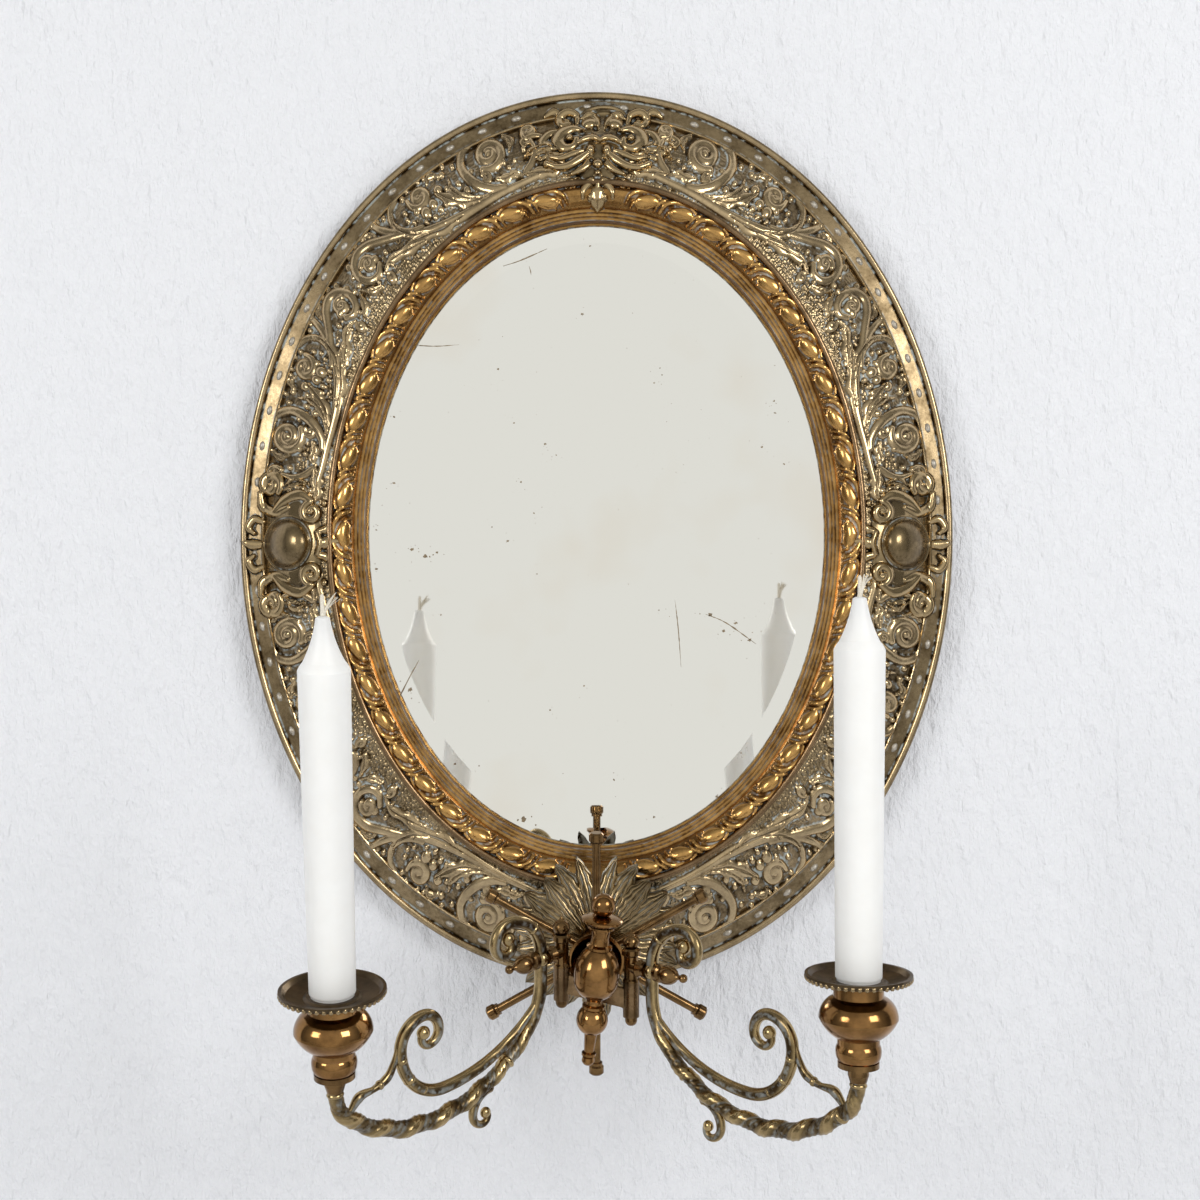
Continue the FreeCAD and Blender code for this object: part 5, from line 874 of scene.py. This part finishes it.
# %% [markdown]
# Each side boss is a smooth dome, ringed by a groove, on a shield with a scroll at each
# corner. A collar and a trefoil point to the glass and small buds to the outer band.

# %% The side bosses
BOSS_OUT, BOSS_UP, DOME = 162.0, -4.5, 13.0     # the dome's middle and its radius


def boss_relief(side):
    centre = BOSS_OUT * side
    left = centre - 34.0 if side > 0 else centre - 28.0
    relief = Relief(62.0, 88.0, left, -48.5, 0.4, fat=1.5)

    def at(points):
        return [(centre - side * inward, BOSS_UP + up) for inward, up in points]

    def scroll(inward, up, outer, start, hand, rise, thick):
        x, z = at([(inward, up)])[0]
        way = start if side < 0 else 180 - start
        turn = hand if side < 0 else -hand
        angle = math.radians(way) + turn * np.linspace(0, 2.4 * math.pi, 24)
        reach = outer * (1 - 0.72 * np.linspace(0, 1, 24))
        relief.stroke(np.stack([x + reach * np.cos(angle), z + reach * np.sin(angle)],
                               axis=-1), rise, (thick * 0.7, thick, thick, thick * 0.8))
        relief.touch(x, z, 1.9, rise * 1.1)

    relief.touch(*at([(5.0, 0)])[0], 16.0, 3.8, 1.62, math.pi / 2, 0.4)
    relief.touch(centre, BOSS_UP, 15.6, 4.4, 1.0, 0.0, 0.3)
    relief.touch(centre, BOSS_UP, DOME, 11.2, 1.0, 0.0, 0.5)
    for t in np.linspace(0, 2 * math.pi, 120):
        relief.sink(centre + 13.8 * math.cos(t), BOSS_UP + 13.8 * math.sin(t), 0.9, 0.3)
    for up in (-1, 1):
        scroll(14.0, 16.0 * up, 5.6, 90 * up, up, 4.6, 2.0)
        relief.stroke(at([(-9, 17 * up), (-2, 23 * up), (7, 25.4 * up), (14, 22 * up)]), 4.4,
                      (1.4, 2.3, 2.4, 1.6))
        scroll(-10.6, 31.5 * up, 6.4, -40 * up, up, 4.2, 2.3)
        relief.stroke(at([(-16.4, 27 * up), (-15, 20 * up), (-8, 17 * up), (0, 19 * up)]), 4.0,
                      (1.4, 2.2, 2.2, 1.4))
        relief.leaf(at([(-3, 29 * up), (4, 32.5 * up), (11, 31 * up)]), 3.0, 3.0, 2)
        relief.stroke(at([(-15.4, 12 * up), (-20, 13.4 * up), (-23, 9 * up), (-20.4, 6 * up)]),
                      3.0, (1.2, 1.7, 1.6, 1.0))
        relief.stroke(at([(18, 6 * up), (23, 7.6 * up), (25.6, 11 * up)]), 3.6,
                      (1.6, 2.0, 1.0))
        relief.touch(*at([(21.0, 20.5 * up)])[0], 2.2, 3.4)
    relief.stroke(at([(-17, 0), (-21, 0), (-25, 1)]), 3.2, (1.8, 2.2, 1.2))
    relief.stroke(at([(17.4, -5.4), (19.0, 0), (17.4, 5.4)]), 5.0, (1.3, 1.7, 1.3))
    relief.stroke(at([(20.6, 0), (25, 0.6), (29, 1.0)]), 4.4, (2.6, 2.6, 1.2))
    for up in (4.6, -3.6):
        relief.touch(*at([(25.6, up)])[0], 2.0, 3.8)
    return relief.done()


for side, word in ((-1, "left"), (1, "right")):
    laid_casting(word + "_ringed_boss", boss_relief(side), (word + "_boss",),
                 (BOSS_OUT * side, BOSS_UP, DOME))

# %% [markdown]
# The hub and the arms have their own places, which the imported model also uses. Each is a
# frame: a matrix that carries millimetres along its own axes into the model. The hub
# faces eight degrees down. The frame of an arm has X out along the arm and Z up its
# hinge pin.

# %% Places of the hub and the arms
def frame_at(x, y, z, *turns):
    matrix = Matrix.Translation(Vector((x, y, z)))
    for degrees, axis in turns:
        matrix = matrix @ Matrix.Rotation(math.radians(degrees), 4, axis)
    return matrix


HUB = frame_at(0, -70.0, -210.5, (98.0, "X"))
ARMS = {"left": frame_at(-17.0, -86.0, -205.5, (9.0, "X"), (225.0, "Z")),
        "right": frame_at(17.0, -86.0, -213.0, (1.0, "X"), (-45.0, "Z"))}


def carried(points, matrix):
    """Millimetre points in a frame, as metres in the model."""
    m = np.array(matrix, float)
    points = np.asarray(points, float)
    return (points @ m[:3, :3].T + m[:3, 3]) * MM


# %% [markdown]
# The castings that hang at the foot are shells: rings of points along a path, or rows of
# points over a leaf or a bud. The path of an arm is a chain of arcs that always turn the
# same way and meet smoothly. A turtle walks such a chain and leaves points behind it. One
# small class collects the shells of a casting and makes them one piece.

# %% Arcs and tubes
def walk(start, heading, *moves):
    """Points of a path: a move is (length,) straight on or (radius, degrees) round."""
    x, z = start
    facing_to = math.radians(heading)
    points = [(x, z)]
    for move in moves:
        if len(move) == 1:
            count = max(2, int(move[0] / 0.8))
            for _ in range(count):
                x += math.cos(facing_to) * move[0] / count
                z += math.sin(facing_to) * move[0] / count
                points.append((x, z))
            continue
        radius, degrees = move
        turn = math.radians(degrees)
        count = max(4, int(abs(turn) * radius / 0.7))
        for _ in range(count):
            step = turn / count
            chord = 2 * radius * math.sin(abs(step) / 2)
            x += math.cos(facing_to + step / 2) * chord
            z += math.sin(facing_to + step / 2) * chord
            facing_to += step
            points.append((x, z))
    return np.array(points)


def tube_points(path, radii, sides=20, shape=None):
    """Rings round a flat path in the frame's X and Z, closed to a point at both ends."""
    path = np.asarray(path, float)
    way = heading(path)
    length = np.concatenate([[0], np.cumsum(np.linalg.norm(np.diff(path, axis=0), axis=1))])
    radii = np.interp(length / length[-1], np.linspace(0, 1, len(radii)), radii)
    angle = circle(sides)[None, :]
    reach = radii[:, None] * (1 if shape is None else shape(length[:, None], angle))
    side, centre, ahead = (np.stack([q[:, 0], 0 * q[:, 0], q[:, 1]], axis=-1)[:, None, :]
                           for q in (way[:, ::-1] * (-1, 1), path, way))
    rings = centre + side * (reach * np.cos(angle))[..., None]
    rings[..., 1] -= reach * np.sin(angle)

    def cap(end, sign, share, beyond):
        """A ring past an end of the tube: share of its width, beyond in radii."""
        return [centre[end] + (rings[end] - centre[end]) * share
                + ahead[end] * radii[end] * beyond * sign]

    return np.concatenate([cap(0, -1, 0, 0.6), cap(0, -1, 0.75, 0.45), rings,
                           cap(-1, 1, 0.75, 0.45), cap(-1, 1, 0, 0.6)]), reach


def ball_points(x, z, radius, stretch=(1, 1, 1), lean=0.0, y=0.0):
    """A bud: a ball stretched along its own axes, in the arm's frame."""
    lift = np.linspace(-math.pi / 2, math.pi / 2, 11)[:, None]
    around = circle(18)[None, :]
    px = radius * stretch[0] * np.sin(lift) + 0 * around
    py = radius * stretch[1] * np.cos(lift) * np.cos(around)
    pz = radius * stretch[2] * np.cos(lift) * np.sin(around)
    c, s = math.cos(lean), math.sin(lean)
    return np.stack([x + px * c - pz * s, y + py, z + px * s + pz * c], axis=-1)


class Casting:
    """Collects rows of points into one mesh."""

    def __init__(self):
        self.points, self.faces, self.relief, self.count = [], [], [], 0

    def take(self, grid, relief=0.6, wrap=True):
        rows, columns = grid.shape[:2]
        self.faces.append(grid_faces(rows, columns, wrap, self.count))
        self.points.append(grid.reshape(-1, 3))
        self.relief.append(np.broadcast_to(relief, grid.shape[:2]).ravel())
        self.count += rows * columns

    def make(self, name, matrix, material, body, replaced=()):
        make_piece(name, carried(np.concatenate(self.points), matrix), self.faces,
                   material, body, replaced, np.concatenate(self.relief))


# %% [markdown]
# The rosette behind the hub is cast leaves on a dish: ribbed rays at the sides, pointed
# veined leaves above and below them, and a spray behind the top spoke. A leaf is a closed
# shell: rows of points run out to its tip, each row across its front and back.

# %% The rosette of leaves
def rosette_leaf(casting, degrees, length, half_width, ribs, lift=0.0, curl=0.0):
    share = np.linspace(0, 1, 44)[:, None]
    across = np.linspace(-1, 1, 25)[None, :]
    wide = half_width * np.sin(math.pi * np.clip(share * 0.93 + 0.07, 0, 1) ** 1.25) ** 0.75
    wide = wide * (1 + 0.09 * np.cos(share * 34)) + 0.25
    reach = 9.0 + (length - 9.0) * share + 0 * across
    side = wide * across
    top = -17.0 - 8.0 * (reach / 42.0) ** 2 + lift
    rib = np.abs(np.cos(across * math.pi * ribs / 2 + 0.3 * share)) * (1 - share * 0.4)
    front = top + 0.9 * rib + 1.6 * (1 - np.abs(across)) ** 0.7 - 0.9 * np.abs(across) ** 3
    back = top - 1.5 - 0.6 * np.abs(across) ** 3
    turn = math.radians(degrees) + curl * share ** 2
    px = reach * np.cos(turn) - side * np.sin(turn)
    py = reach * np.sin(turn) + side * np.cos(turn)
    faces = [np.stack([px, py, height], axis=-1) for height in (front, back)]
    shade = np.concatenate([0.15 + 0.75 * rib, 0.2 + 0 * rib], axis=1)
    casting.take(np.concatenate([faces[0], faces[1][:, ::-1]], axis=1), shade)


LEAF_LIMIT = 43.5               # the tips stay clear of the swinging arms


def rosette():
    casting = Casting()
    for degrees, length, width, ribs, lift, curl in (
            (174, 43, 5.6, 4, -1.2, 0), (6, 43, 5.6, 4, -1.2, 0),
            (161, 45, 6.0, 5, -0.8, 0), (19, 45, 6.0, 5, -0.8, 0),
            (147.3, 45, 6.4, 5, 0, 0), (33.1, 46.5, 6.4, 5, 0, 0),
            (129.6, 41, 6.6, 6, 0.8, 0), (48.6, 41, 6.6, 6, 0.8, 0),
            (112, 44, 5.2, 4, 0, 0.12), (68, 44, 5.2, 4, 0, -0.12),
            (99, 45, 4.0, 3, 0.8, 0.08), (81, 45, 4.0, 3, 0.8, -0.08),
            (187, 41, 5.2, 4, 0, 0), (353, 41, 5.2, 4, 0, 0),
            (199, 46, 5.6, 5, 0.6, 0), (341, 46, 5.6, 5, 0.6, 0),
            (213, 45.5, 5.6, 5, 0, 0), (327, 45, 5.6, 5, 0, 0),
            (229, 40, 5.2, 4, 0.4, 0), (310, 40, 5.2, 4, 0.4, 0),
            (247, 38, 5.2, 4, -0.4, 0), (291, 41, 5.2, 4, -0.4, 0),
            (265, 42, 4.6, 4, 0.3, 0), (277, 43, 4.6, 4, 0.3, 0)):
        rosette_leaf(casting, degrees, min(length, LEAF_LIMIT), width, ribs, lift, curl)
    casting.make("leaf_rosette", HUB, CAST, "mirror", ("rosette",))


rosette()

# %% [markdown]
# The line of an arm runs from the foot of the cup along its long bow to the stem, up to the
# hinge and round the crook. A branch rises from the bow and winds into a scroll, a spray
# leans towards the cup, and a tail hangs below.

# %% The lines of a cast arm
def corner_radius(run, rise, bow):
    return (bow * bow - run * run - (rise - bow) ** 2) / (2 * (bow - run))


def bow_turns(run, rise, gain):
    """The two radii and turns of a long bow that ends upright."""
    bow = (run * run + rise * rise) / (2 * rise) * gain
    small = corner_radius(run, rise, bow)
    first = math.degrees(math.atan2(run - small, bow - rise))
    return bow, first, small, 90 - first


ARM_REACH, STEM_REACH, BOW_REACH, ARM_DROP, CUP_FOOT = 136.0, 14.0, 82.0, 59.0, -21.0
cup_bow, cup_turn, cup_small, cup_last = bow_turns(ARM_REACH - BOW_REACH,
                                                   ARM_DROP + CUP_FOOT - 6.0, 1.2)
stem_bow, stem_turn, stem_small, stem_last = bow_turns(BOW_REACH - STEM_REACH,
                                                       ARM_DROP * 0.82, 1.14)
MAIN_LINE = walk((ARM_REACH, CUP_FOOT), -90, (6.0,), (cup_small, -cup_last),
                 (cup_bow, -cup_turn), (stem_bow, -stem_turn), (stem_small, -stem_last),
                 (13.6,), (20.0, -90), (9.0, -90), (6.4, -90), (4.5, -90), (3.2, -80))
BRANCH_LINE = walk((75.0, 13.5 - ARM_DROP), 180, (82.0, -46))[::-1]
BRANCH_LINE = np.vstack([BRANCH_LINE[:-1], walk((75.0, 13.5 - ARM_DROP), 0, (25.0, 90),
                                               (13.4, 90), (8.8, 90), (6.0, 90), (4.2, 90),
                                               (2.6, 60))])
SPRAY_LINE = flowing([(129, -40), (123, -34), (115, -33), (107.5, -30), (103.5, -24),
                      (101.2, -17)], 0.6)
TAIL_LINE = walk((47.0, -54.5), 0, (11.0, -90), (6.0, -90), (3.3, -90), (1.8, -80))


def strap(length, angle):
    """A cast strap: raised edges with a hollow along its front and back."""
    hollow = np.maximum(0, np.abs(np.sin(angle)) - 0.6) / 0.4
    return 1.12 - 0.2 * hollow ** 0.8 * (0.6 + 0.4 * np.cos(length * 0.5))


def wrapped(length, angle):
    """The lower part of an arm: one long leaf wound round it, its ribs showing."""
    turn = np.cos(angle + length * 0.34)
    wound = 0.30 * np.maximum(0, turn) ** 0.6 + 0.05 * np.cos(6 * angle + length * 2.0)
    share = np.clip((150.0 - length) / 25.0, 0, 1) * np.clip((length - 8) / 8.0, 0, 1)
    return strap(length, angle) * (1 - share) + (1.0 + wound) * share


# %% [markdown]
# Each arm is one casting: four tubes whose sections swell and thin, a ball at the eye of
# each scroll, a collar at the hinge, and rings where the real arm is bound.

# %% The cast arms
def arm(name):
    casting = Casting()
    for line, radii, sides, shape in (
            (MAIN_LINE, (2.9, 3.2, 3.5, 3.4, 3.1, 3.0, 2.9, 2.8, 2.6, 2.2), 36, wrapped),
            (BRANCH_LINE, (1.6, 2.1, 2.4, 2.6, 2.6, 2.6, 2.3, 1.6), 26, strap),
            (TAIL_LINE, (2.4, 2.1, 1.7, 1.4), 20, strap),
            (SPRAY_LINE, (1.2, 2.1, 1.3, 1.9, 1.4, 1.0), 18, strap)):
        rings, reach = tube_points(line, radii, sides, shape)
        low, high = reach.min(axis=1, keepdims=True), reach.max(axis=1, keepdims=True)
        shade = 0.2 + 0.65 * (reach - low) / (high - low + 0.05)
        shade = np.concatenate([shade[:1], shade[:1], shade, shade[-1:], shade[-1:]])
        casting.take(rings, shade)
    for line, size in ((MAIN_LINE, 3.6), (BRANCH_LINE, 3.3), (TAIL_LINE, 2.7)):
        x, z = line[-1]
        casting.take(ball_points(x, z, size, (1, 0.85, 1)), 0.75)
    casting.take(ball_points(STEM_REACH, 0, 4.4, (0.8, 1, 1)), 0.7)
    for line, share, radius, long in ((MAIN_LINE, 0.025, 3.9, 0.5), (MAIN_LINE, 0.1, 3.9, 0.6),
                                      (MAIN_LINE, 0.5, 4.0, 0.5), (MAIN_LINE, 0.79, 3.5, 0.6),
                                      (BRANCH_LINE, 0.5, 2.9, 0.7), (BRANCH_LINE, 0.57, 3.1, 0.7),
                                      (BRANCH_LINE, 0.64, 3.0, 0.7), (SPRAY_LINE, 0.5, 2.3, 0.8)):
        spot = int(share * (len(line) - 2)) + 1
        x, z = line[spot]
        lean = math.atan2(*(line[spot + 1] - line[spot - 1])[::-1])
        casting.take(ball_points(x, z, radius, (long, 1, 1), lean), 0.7)
    casting.make(name + "_scroll_arm", ARMS[name], ARM_CAST, name + "_arm_unit",
                 (name + "_arm",))


for side in ("left", "right"):
    arm(side)

# %% [markdown]
# A new wick is plaited cotton whose cut end has opened into strands. Beads run round the
# rim of each drip pan.

# %% Wick strands and pan beads
def extent(node, matrix):
    """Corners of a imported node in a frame, in millimetres."""
    back = np.array(matrix.inverted(), float)
    spots = np.array([node.matrix_world @ v.co for v in node.data.vertices]) / MM
    spots = spots @ back[:3, :3].T + back[:3, 3]
    return spots.min(axis=0), spots.max(axis=0)


def wick_strands(side, bend):
    low, high = extent(frame["nodes"][side + "_wick"], Matrix.Identity(4))
    middle, top = (low + high) / 2, high[2]
    chance = np.random.default_rng(11 if side == "left" else 12)
    casting = Casting()
    share = np.linspace(0, 1, 14)[:, None]
    for k in range(14):
        spread, way = chance.uniform(0.3, 2.6), 2 * math.pi * k / 14
        fan = share ** 2.2
        path = np.concatenate([
            middle[0] + bend * share ** 1.5 + spread * fan * (math.cos(way) + 0.8 * np.sign(bend))
            + 0.55 * (1 - fan) * np.cos(way + 3 * share),
            middle[1] + spread * fan * math.sin(way) * 0.8
            + 0.55 * (1 - fan) * np.sin(way + 3 * share),
            top - 9.5 + 9.4 * share * chance.uniform(0.72, 1.0)
            + 0.8 * fan * math.sin(way * 2)], axis=1)
        around = circle(7)[None, :]
        thick = 0.62 - 0.3 * share ** 2
        rings = np.stack([path[:, :1] + thick * np.cos(around),
                          path[:, 1:2] + thick * np.sin(around),
                          path[:, 2:] + thick * 0.5 * np.sin(around + 0.8)], axis=-1)
        tips = [np.broadcast_to(rings[end].mean(axis=0), rings[:1].shape) for end in (0, -1)]
        casting.take(np.concatenate([tips[0], rings, tips[1]]), 0.6)
    casting.make(side + "_wick_strands", Matrix.Identity(4), COTTON,
                 side + "_candle_unit")


PAN_RING, PAN_BEADS = 22.3, 48


def pan_beads(side):
    top = extent(frame["nodes"][side + "_drip_pan"], ARMS[side])[1][2]
    casting = Casting()
    for k in range(PAN_BEADS):
        way = 2 * math.pi * k / PAN_BEADS
        spot = ball_points(ARM_REACH + PAN_RING * math.cos(way), top - 1.6, 1.15,
                           (1, 1, 1.25), 0.0, PAN_RING * math.sin(way))
        casting.take(spot[::2, ::2], 0.75)
    casting.make(side + "_pan_beads", ARMS[side], CAST, side + "_arm_unit")


for side, bend in (("left", 4.5), ("right", 2.0)):
    wick_strands(side, bend)
    pan_beads(side)

# %% [markdown]
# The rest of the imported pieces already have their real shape, so they keep it and only
# get their finish.

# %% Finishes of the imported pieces
FINISH = {"embossed_brass": EMBOSSED, "gilt_brass": GILT, "cast_brass": CAST,
          "turned_brass": TURNED, "steel": STEEL, "pine": PINE, "stained_board": BOARD,
          "wax": WAX, "cotton_wick": COTTON}
PLAIN_CAST = brass("cast_brass_plain", "#4a3a25", "#94795a", 0.3, 0.38, 0.2, False)


def mirror_glass():
    """Silvered plate glass: it shows the pale room, a little warm and grey with age."""
    material, tree = new_material("silvered_plate_glass")
    stain = ramp(tree, noise(tree, 90.0, 3.0), 0.55, 0.85)
    surface(tree, Base_Color=mix(tree, stain, linear("#f6f5ef"), linear("#f1e9db")),
            Metallic=1.0, Roughness=0.03)
    return material


FINISH["mirror"] = mirror_glass()
for part in frame["record"]["subparts"]:
    node = frame["nodes"][part["node"]]
    material = FINISH[part["material_slot"]]
    if part["material_slot"] in ("cast_brass", "embossed_brass", "gilt_brass"):
        material = PLAIN_CAST
    if part["node"].endswith("_drip_pan"):
        material = SATIN
    if part["node"].startswith("spoke_") or part["node"].endswith(
            ("_pin", "_pin_nut", "_pin_finial", "_elbow", "_acorn_nut", "_cup_foot")):
        material = AGED
    node.data.materials.clear()
    node.data.materials.append(material)

# %% [markdown]
# Damp has lifted the silver here and there. Each flaw is a small dark fleck or a thin
# crack, a flat shape laid a hair in front of the glass.

# %% Flaws in the silvering
def fleck(x, z, radius, chance, stretch=1.0):
    around = circle(12)
    reach = radius * 0.72 * chance.uniform(0.5, 1.25, 12)
    return [(x + r * math.cos(t) * stretch, z + r * math.sin(t)) for r, t in zip(reach, around)]


def crack(points, width, chance):
    path = flowing(points, 1.6)
    way = heading(path)
    out = width * chance.uniform(0.35, 1.0, len(path)) * np.sin(
        np.linspace(0.25, math.pi - 0.25, len(path)))
    side = np.stack([-way[:, 1], way[:, 0]], axis=-1) * out[:, None] / 2
    return [tuple(q) for q in np.vstack([path + side, (path - side)[::-1]])]


FLECKS = ((-3.5, 152.1, 0.7), (-7.7, 116.3, 0.8), (30.2, 80.1, 0.7), (34.4, 84.3, 0.5),
          (33.3, 87.9, 0.5), (-51.8, 87.4, 0.7), (-43.4, 59.0, 0.6), (-27.1, 48.0, 0.8),
          (-21.3, 42.2, 0.6), (-39.7, 28.0, 0.7), (-32.9, 11.7, 0.8), (-46.6, -3.0, 0.8),
          (-55.0, 4.4, 0.6), (-106.5, 62.2, 0.8), (-106.5, 27.5, 0.9), (-115.9, 2.8, 0.7),
          (-115.9, -17.7, 0.8), (-81.8, -41.9, 0.7), (-31.3, -20.3, 0.6), (93.3, 70.6, 0.9),
          (93.8, 64.3, 0.7), (86.9, 46.4, 0.8), (98.5, 37.5, 0.7), (32.8, -39.3, 0.7),
          (-24.5, -91.8, 0.8), (-6.6, -79.2, 0.7), (-74.4, -120.2, 0.8),
          (-61.8, -121.2, 0.7), (9.2, -128.6, 0.9), (30.2, -148.1, 0.8),
          (63.3, -137.5, 0.8), (75.9, -114.4, 0.7), (-38.1, -149.6, 2.2),
          (59.6, -41.9, 1.5), (66.9, -50.3, 1.2), (73.2, -46.1, 1.0), (80.5, -55.0, 1.3),
          (-96.9, -7.5, 1.2), (-90.0, -11.0, 1.6), (-83.9, -9.0, 1.0), (-98.0, -81.0, 1.5))
CRACKS = (([(-49.2, 141.6), (-40, 144.5), (-26.1, 150.6)], 0.8),
          ([(-35.5, 141.6), (-34.6, 138.5), (-34.5, 136.8)], 0.7),
          ([(-94.4, 100.0), (-84, 99.4), (-72.3, 100.2)], 0.7),
          ([(-93.3, -65.5), (-98, -74), (-103.8, -85.0)], 1.0),
          ([(41.2, -34.0), (43.0, -50), (44.4, -69.2)], 0.8),
          ([(57.2, -41.4), (68, -46), (83.8, -57.1)], 0.9))


FLAW_DEPTH = 24.03              # a hair in front of the glass, whose front is at 24


def silver_flaws():
    chance = np.random.default_rng(5)
    shapes = [fleck(x, z, r, chance, chance.uniform(0.8, 1.5)) for x, z, r in FLECKS]
    for x, z, r in FLECKS:
        for _ in range(3):
            shapes.append(fleck(x + chance.normal(0, 3.0), z + chance.normal(0, 3.0),
                                r * chance.uniform(0.2, 0.42), chance))
    for _ in range(90):
        way, out = chance.uniform(0, 2 * math.pi), chance.uniform(0, 1) ** 0.4
        shapes.append(fleck(116 * out * math.cos(way), 156 * out * math.sin(way),
                            chance.uniform(0.14, 0.34), chance))
    shapes += [crack(points, width, chance) for points, width in CRACKS]
    points, faces = [], []
    for shape in shapes:
        faces.append(np.arange(len(points), len(points) + len(shape))[None])
        points += [(x, -FLAW_DEPTH, z) for x, z in shape]
    make_piece("silvering_flaws", np.array(points) * MM, faces, TARNISH, "mirror",
               close=False)


TARNISH = plain("bare_tarnished_silver", "#9c8a70", "#665640", 1.2, 0.5, 0.2)
silver_flaws()

# %% [markdown]
# The wall is rough white plaster behind the mirror and stops just short of it. It is only
# there from the front, so that the back can be looked at. A pale floor lies below.

# %% Wall and floor
def plaster():
    material, tree = new_material("white_plaster")
    rough = noise(tree, 8.0, 5.0, 0.66, (1.0, 1.0, 0.5))
    face = add(tree, "ShaderNodeBsdfPrincipled", {
        "Base Color": linear("#eff0f4"), "Roughness": 0.9,
        "Normal": bump(tree, rough, 1.0, 0.005)})
    back = add(tree, "ShaderNodeNewGeometry").outputs["Backfacing"]
    clear = add(tree, "ShaderNodeBsdfTransparent")
    shown = add(tree, "ShaderNodeMixShader", {0: back, 1: face.outputs[0], 2: clear.outputs[0]})
    add(tree, "ShaderNodeOutputMaterial", {"Surface": shown.outputs[0]})
    return material


def flat(name, corners, material):
    mesh = bpy.data.meshes.new(name)
    mesh.from_pydata(corners, [], [(0, 1, 2, 3)])
    mesh.materials.append(material)
    in_scene(name, mesh)


PLASTER = plaster()
WALL_GAP, FLOOR, SIDE = 0.002, -0.9, 2.5        # metres
flat("wall", [(-SIDE, WALL_GAP, FLOOR), (SIDE, WALL_GAP, FLOOR), (SIDE, WALL_GAP, 2.0),
              (-SIDE, WALL_GAP, 2.0)], PLASTER)
flat("floor", [(-SIDE, -1.3, FLOOR), (SIDE, -1.3, FLOOR), (SIDE, 0.6, FLOOR),
               (-SIDE, 0.6, FLOOR)], PLASTER)

# %% [markdown]
# The light is a plain soft studio: an even world, brighter ahead of the mirror where the
# glass looks, and two broad lamps from above.

# %% Light
world = bpy.data.worlds.new("studio")
bpy.context.scene.world = world
world.use_nodes = True
tree = world.node_tree
tree.nodes.clear()
direction = add(tree, "ShaderNodeTexCoord").outputs["Generated"]
parts = add(tree, "ShaderNodeSeparateXYZ", {0: direction}).outputs
forward = maths(tree, "MULTIPLY", parts["Y"], -1.0)
level = 0.16
for way, low, high, gain in ((forward, 0.72, 0.9, 0.34), (forward, 0.1, 0.6, 0.32),
                             (parts["Z"], 0.25, 0.9, 0.1)):
    share = ramp(tree, way, low, high)
    level = maths(tree, "ADD", level, maths(tree, "MULTIPLY", share, gain))
light = add(tree, "ShaderNodeBackground", {"Color": linear("#fafaf7"), "Strength": level})
add(tree, "ShaderNodeOutputWorld", {0: light.outputs[0]})


def lamp(name, place, aim, size, power):
    data = bpy.data.lights.new(name, "AREA")
    data.shape = "RECTANGLE"
    data.size, data.size_y = size
    data.energy = power
    item = in_scene(name, data)
    item.location = place
    way = Vector(aim) - Vector(place)
    item.rotation_euler = way.to_track_quat("-Z", "Y").to_euler()


lamp("key", (1.1, -1.4, 0.5), (0, 0, -0.1), (0.7, 0.7), 13.5)
lamp("fill", (-1.2, -1.3, 0.35), (0, 0, -0.1), (0.6, 0.6), 9)
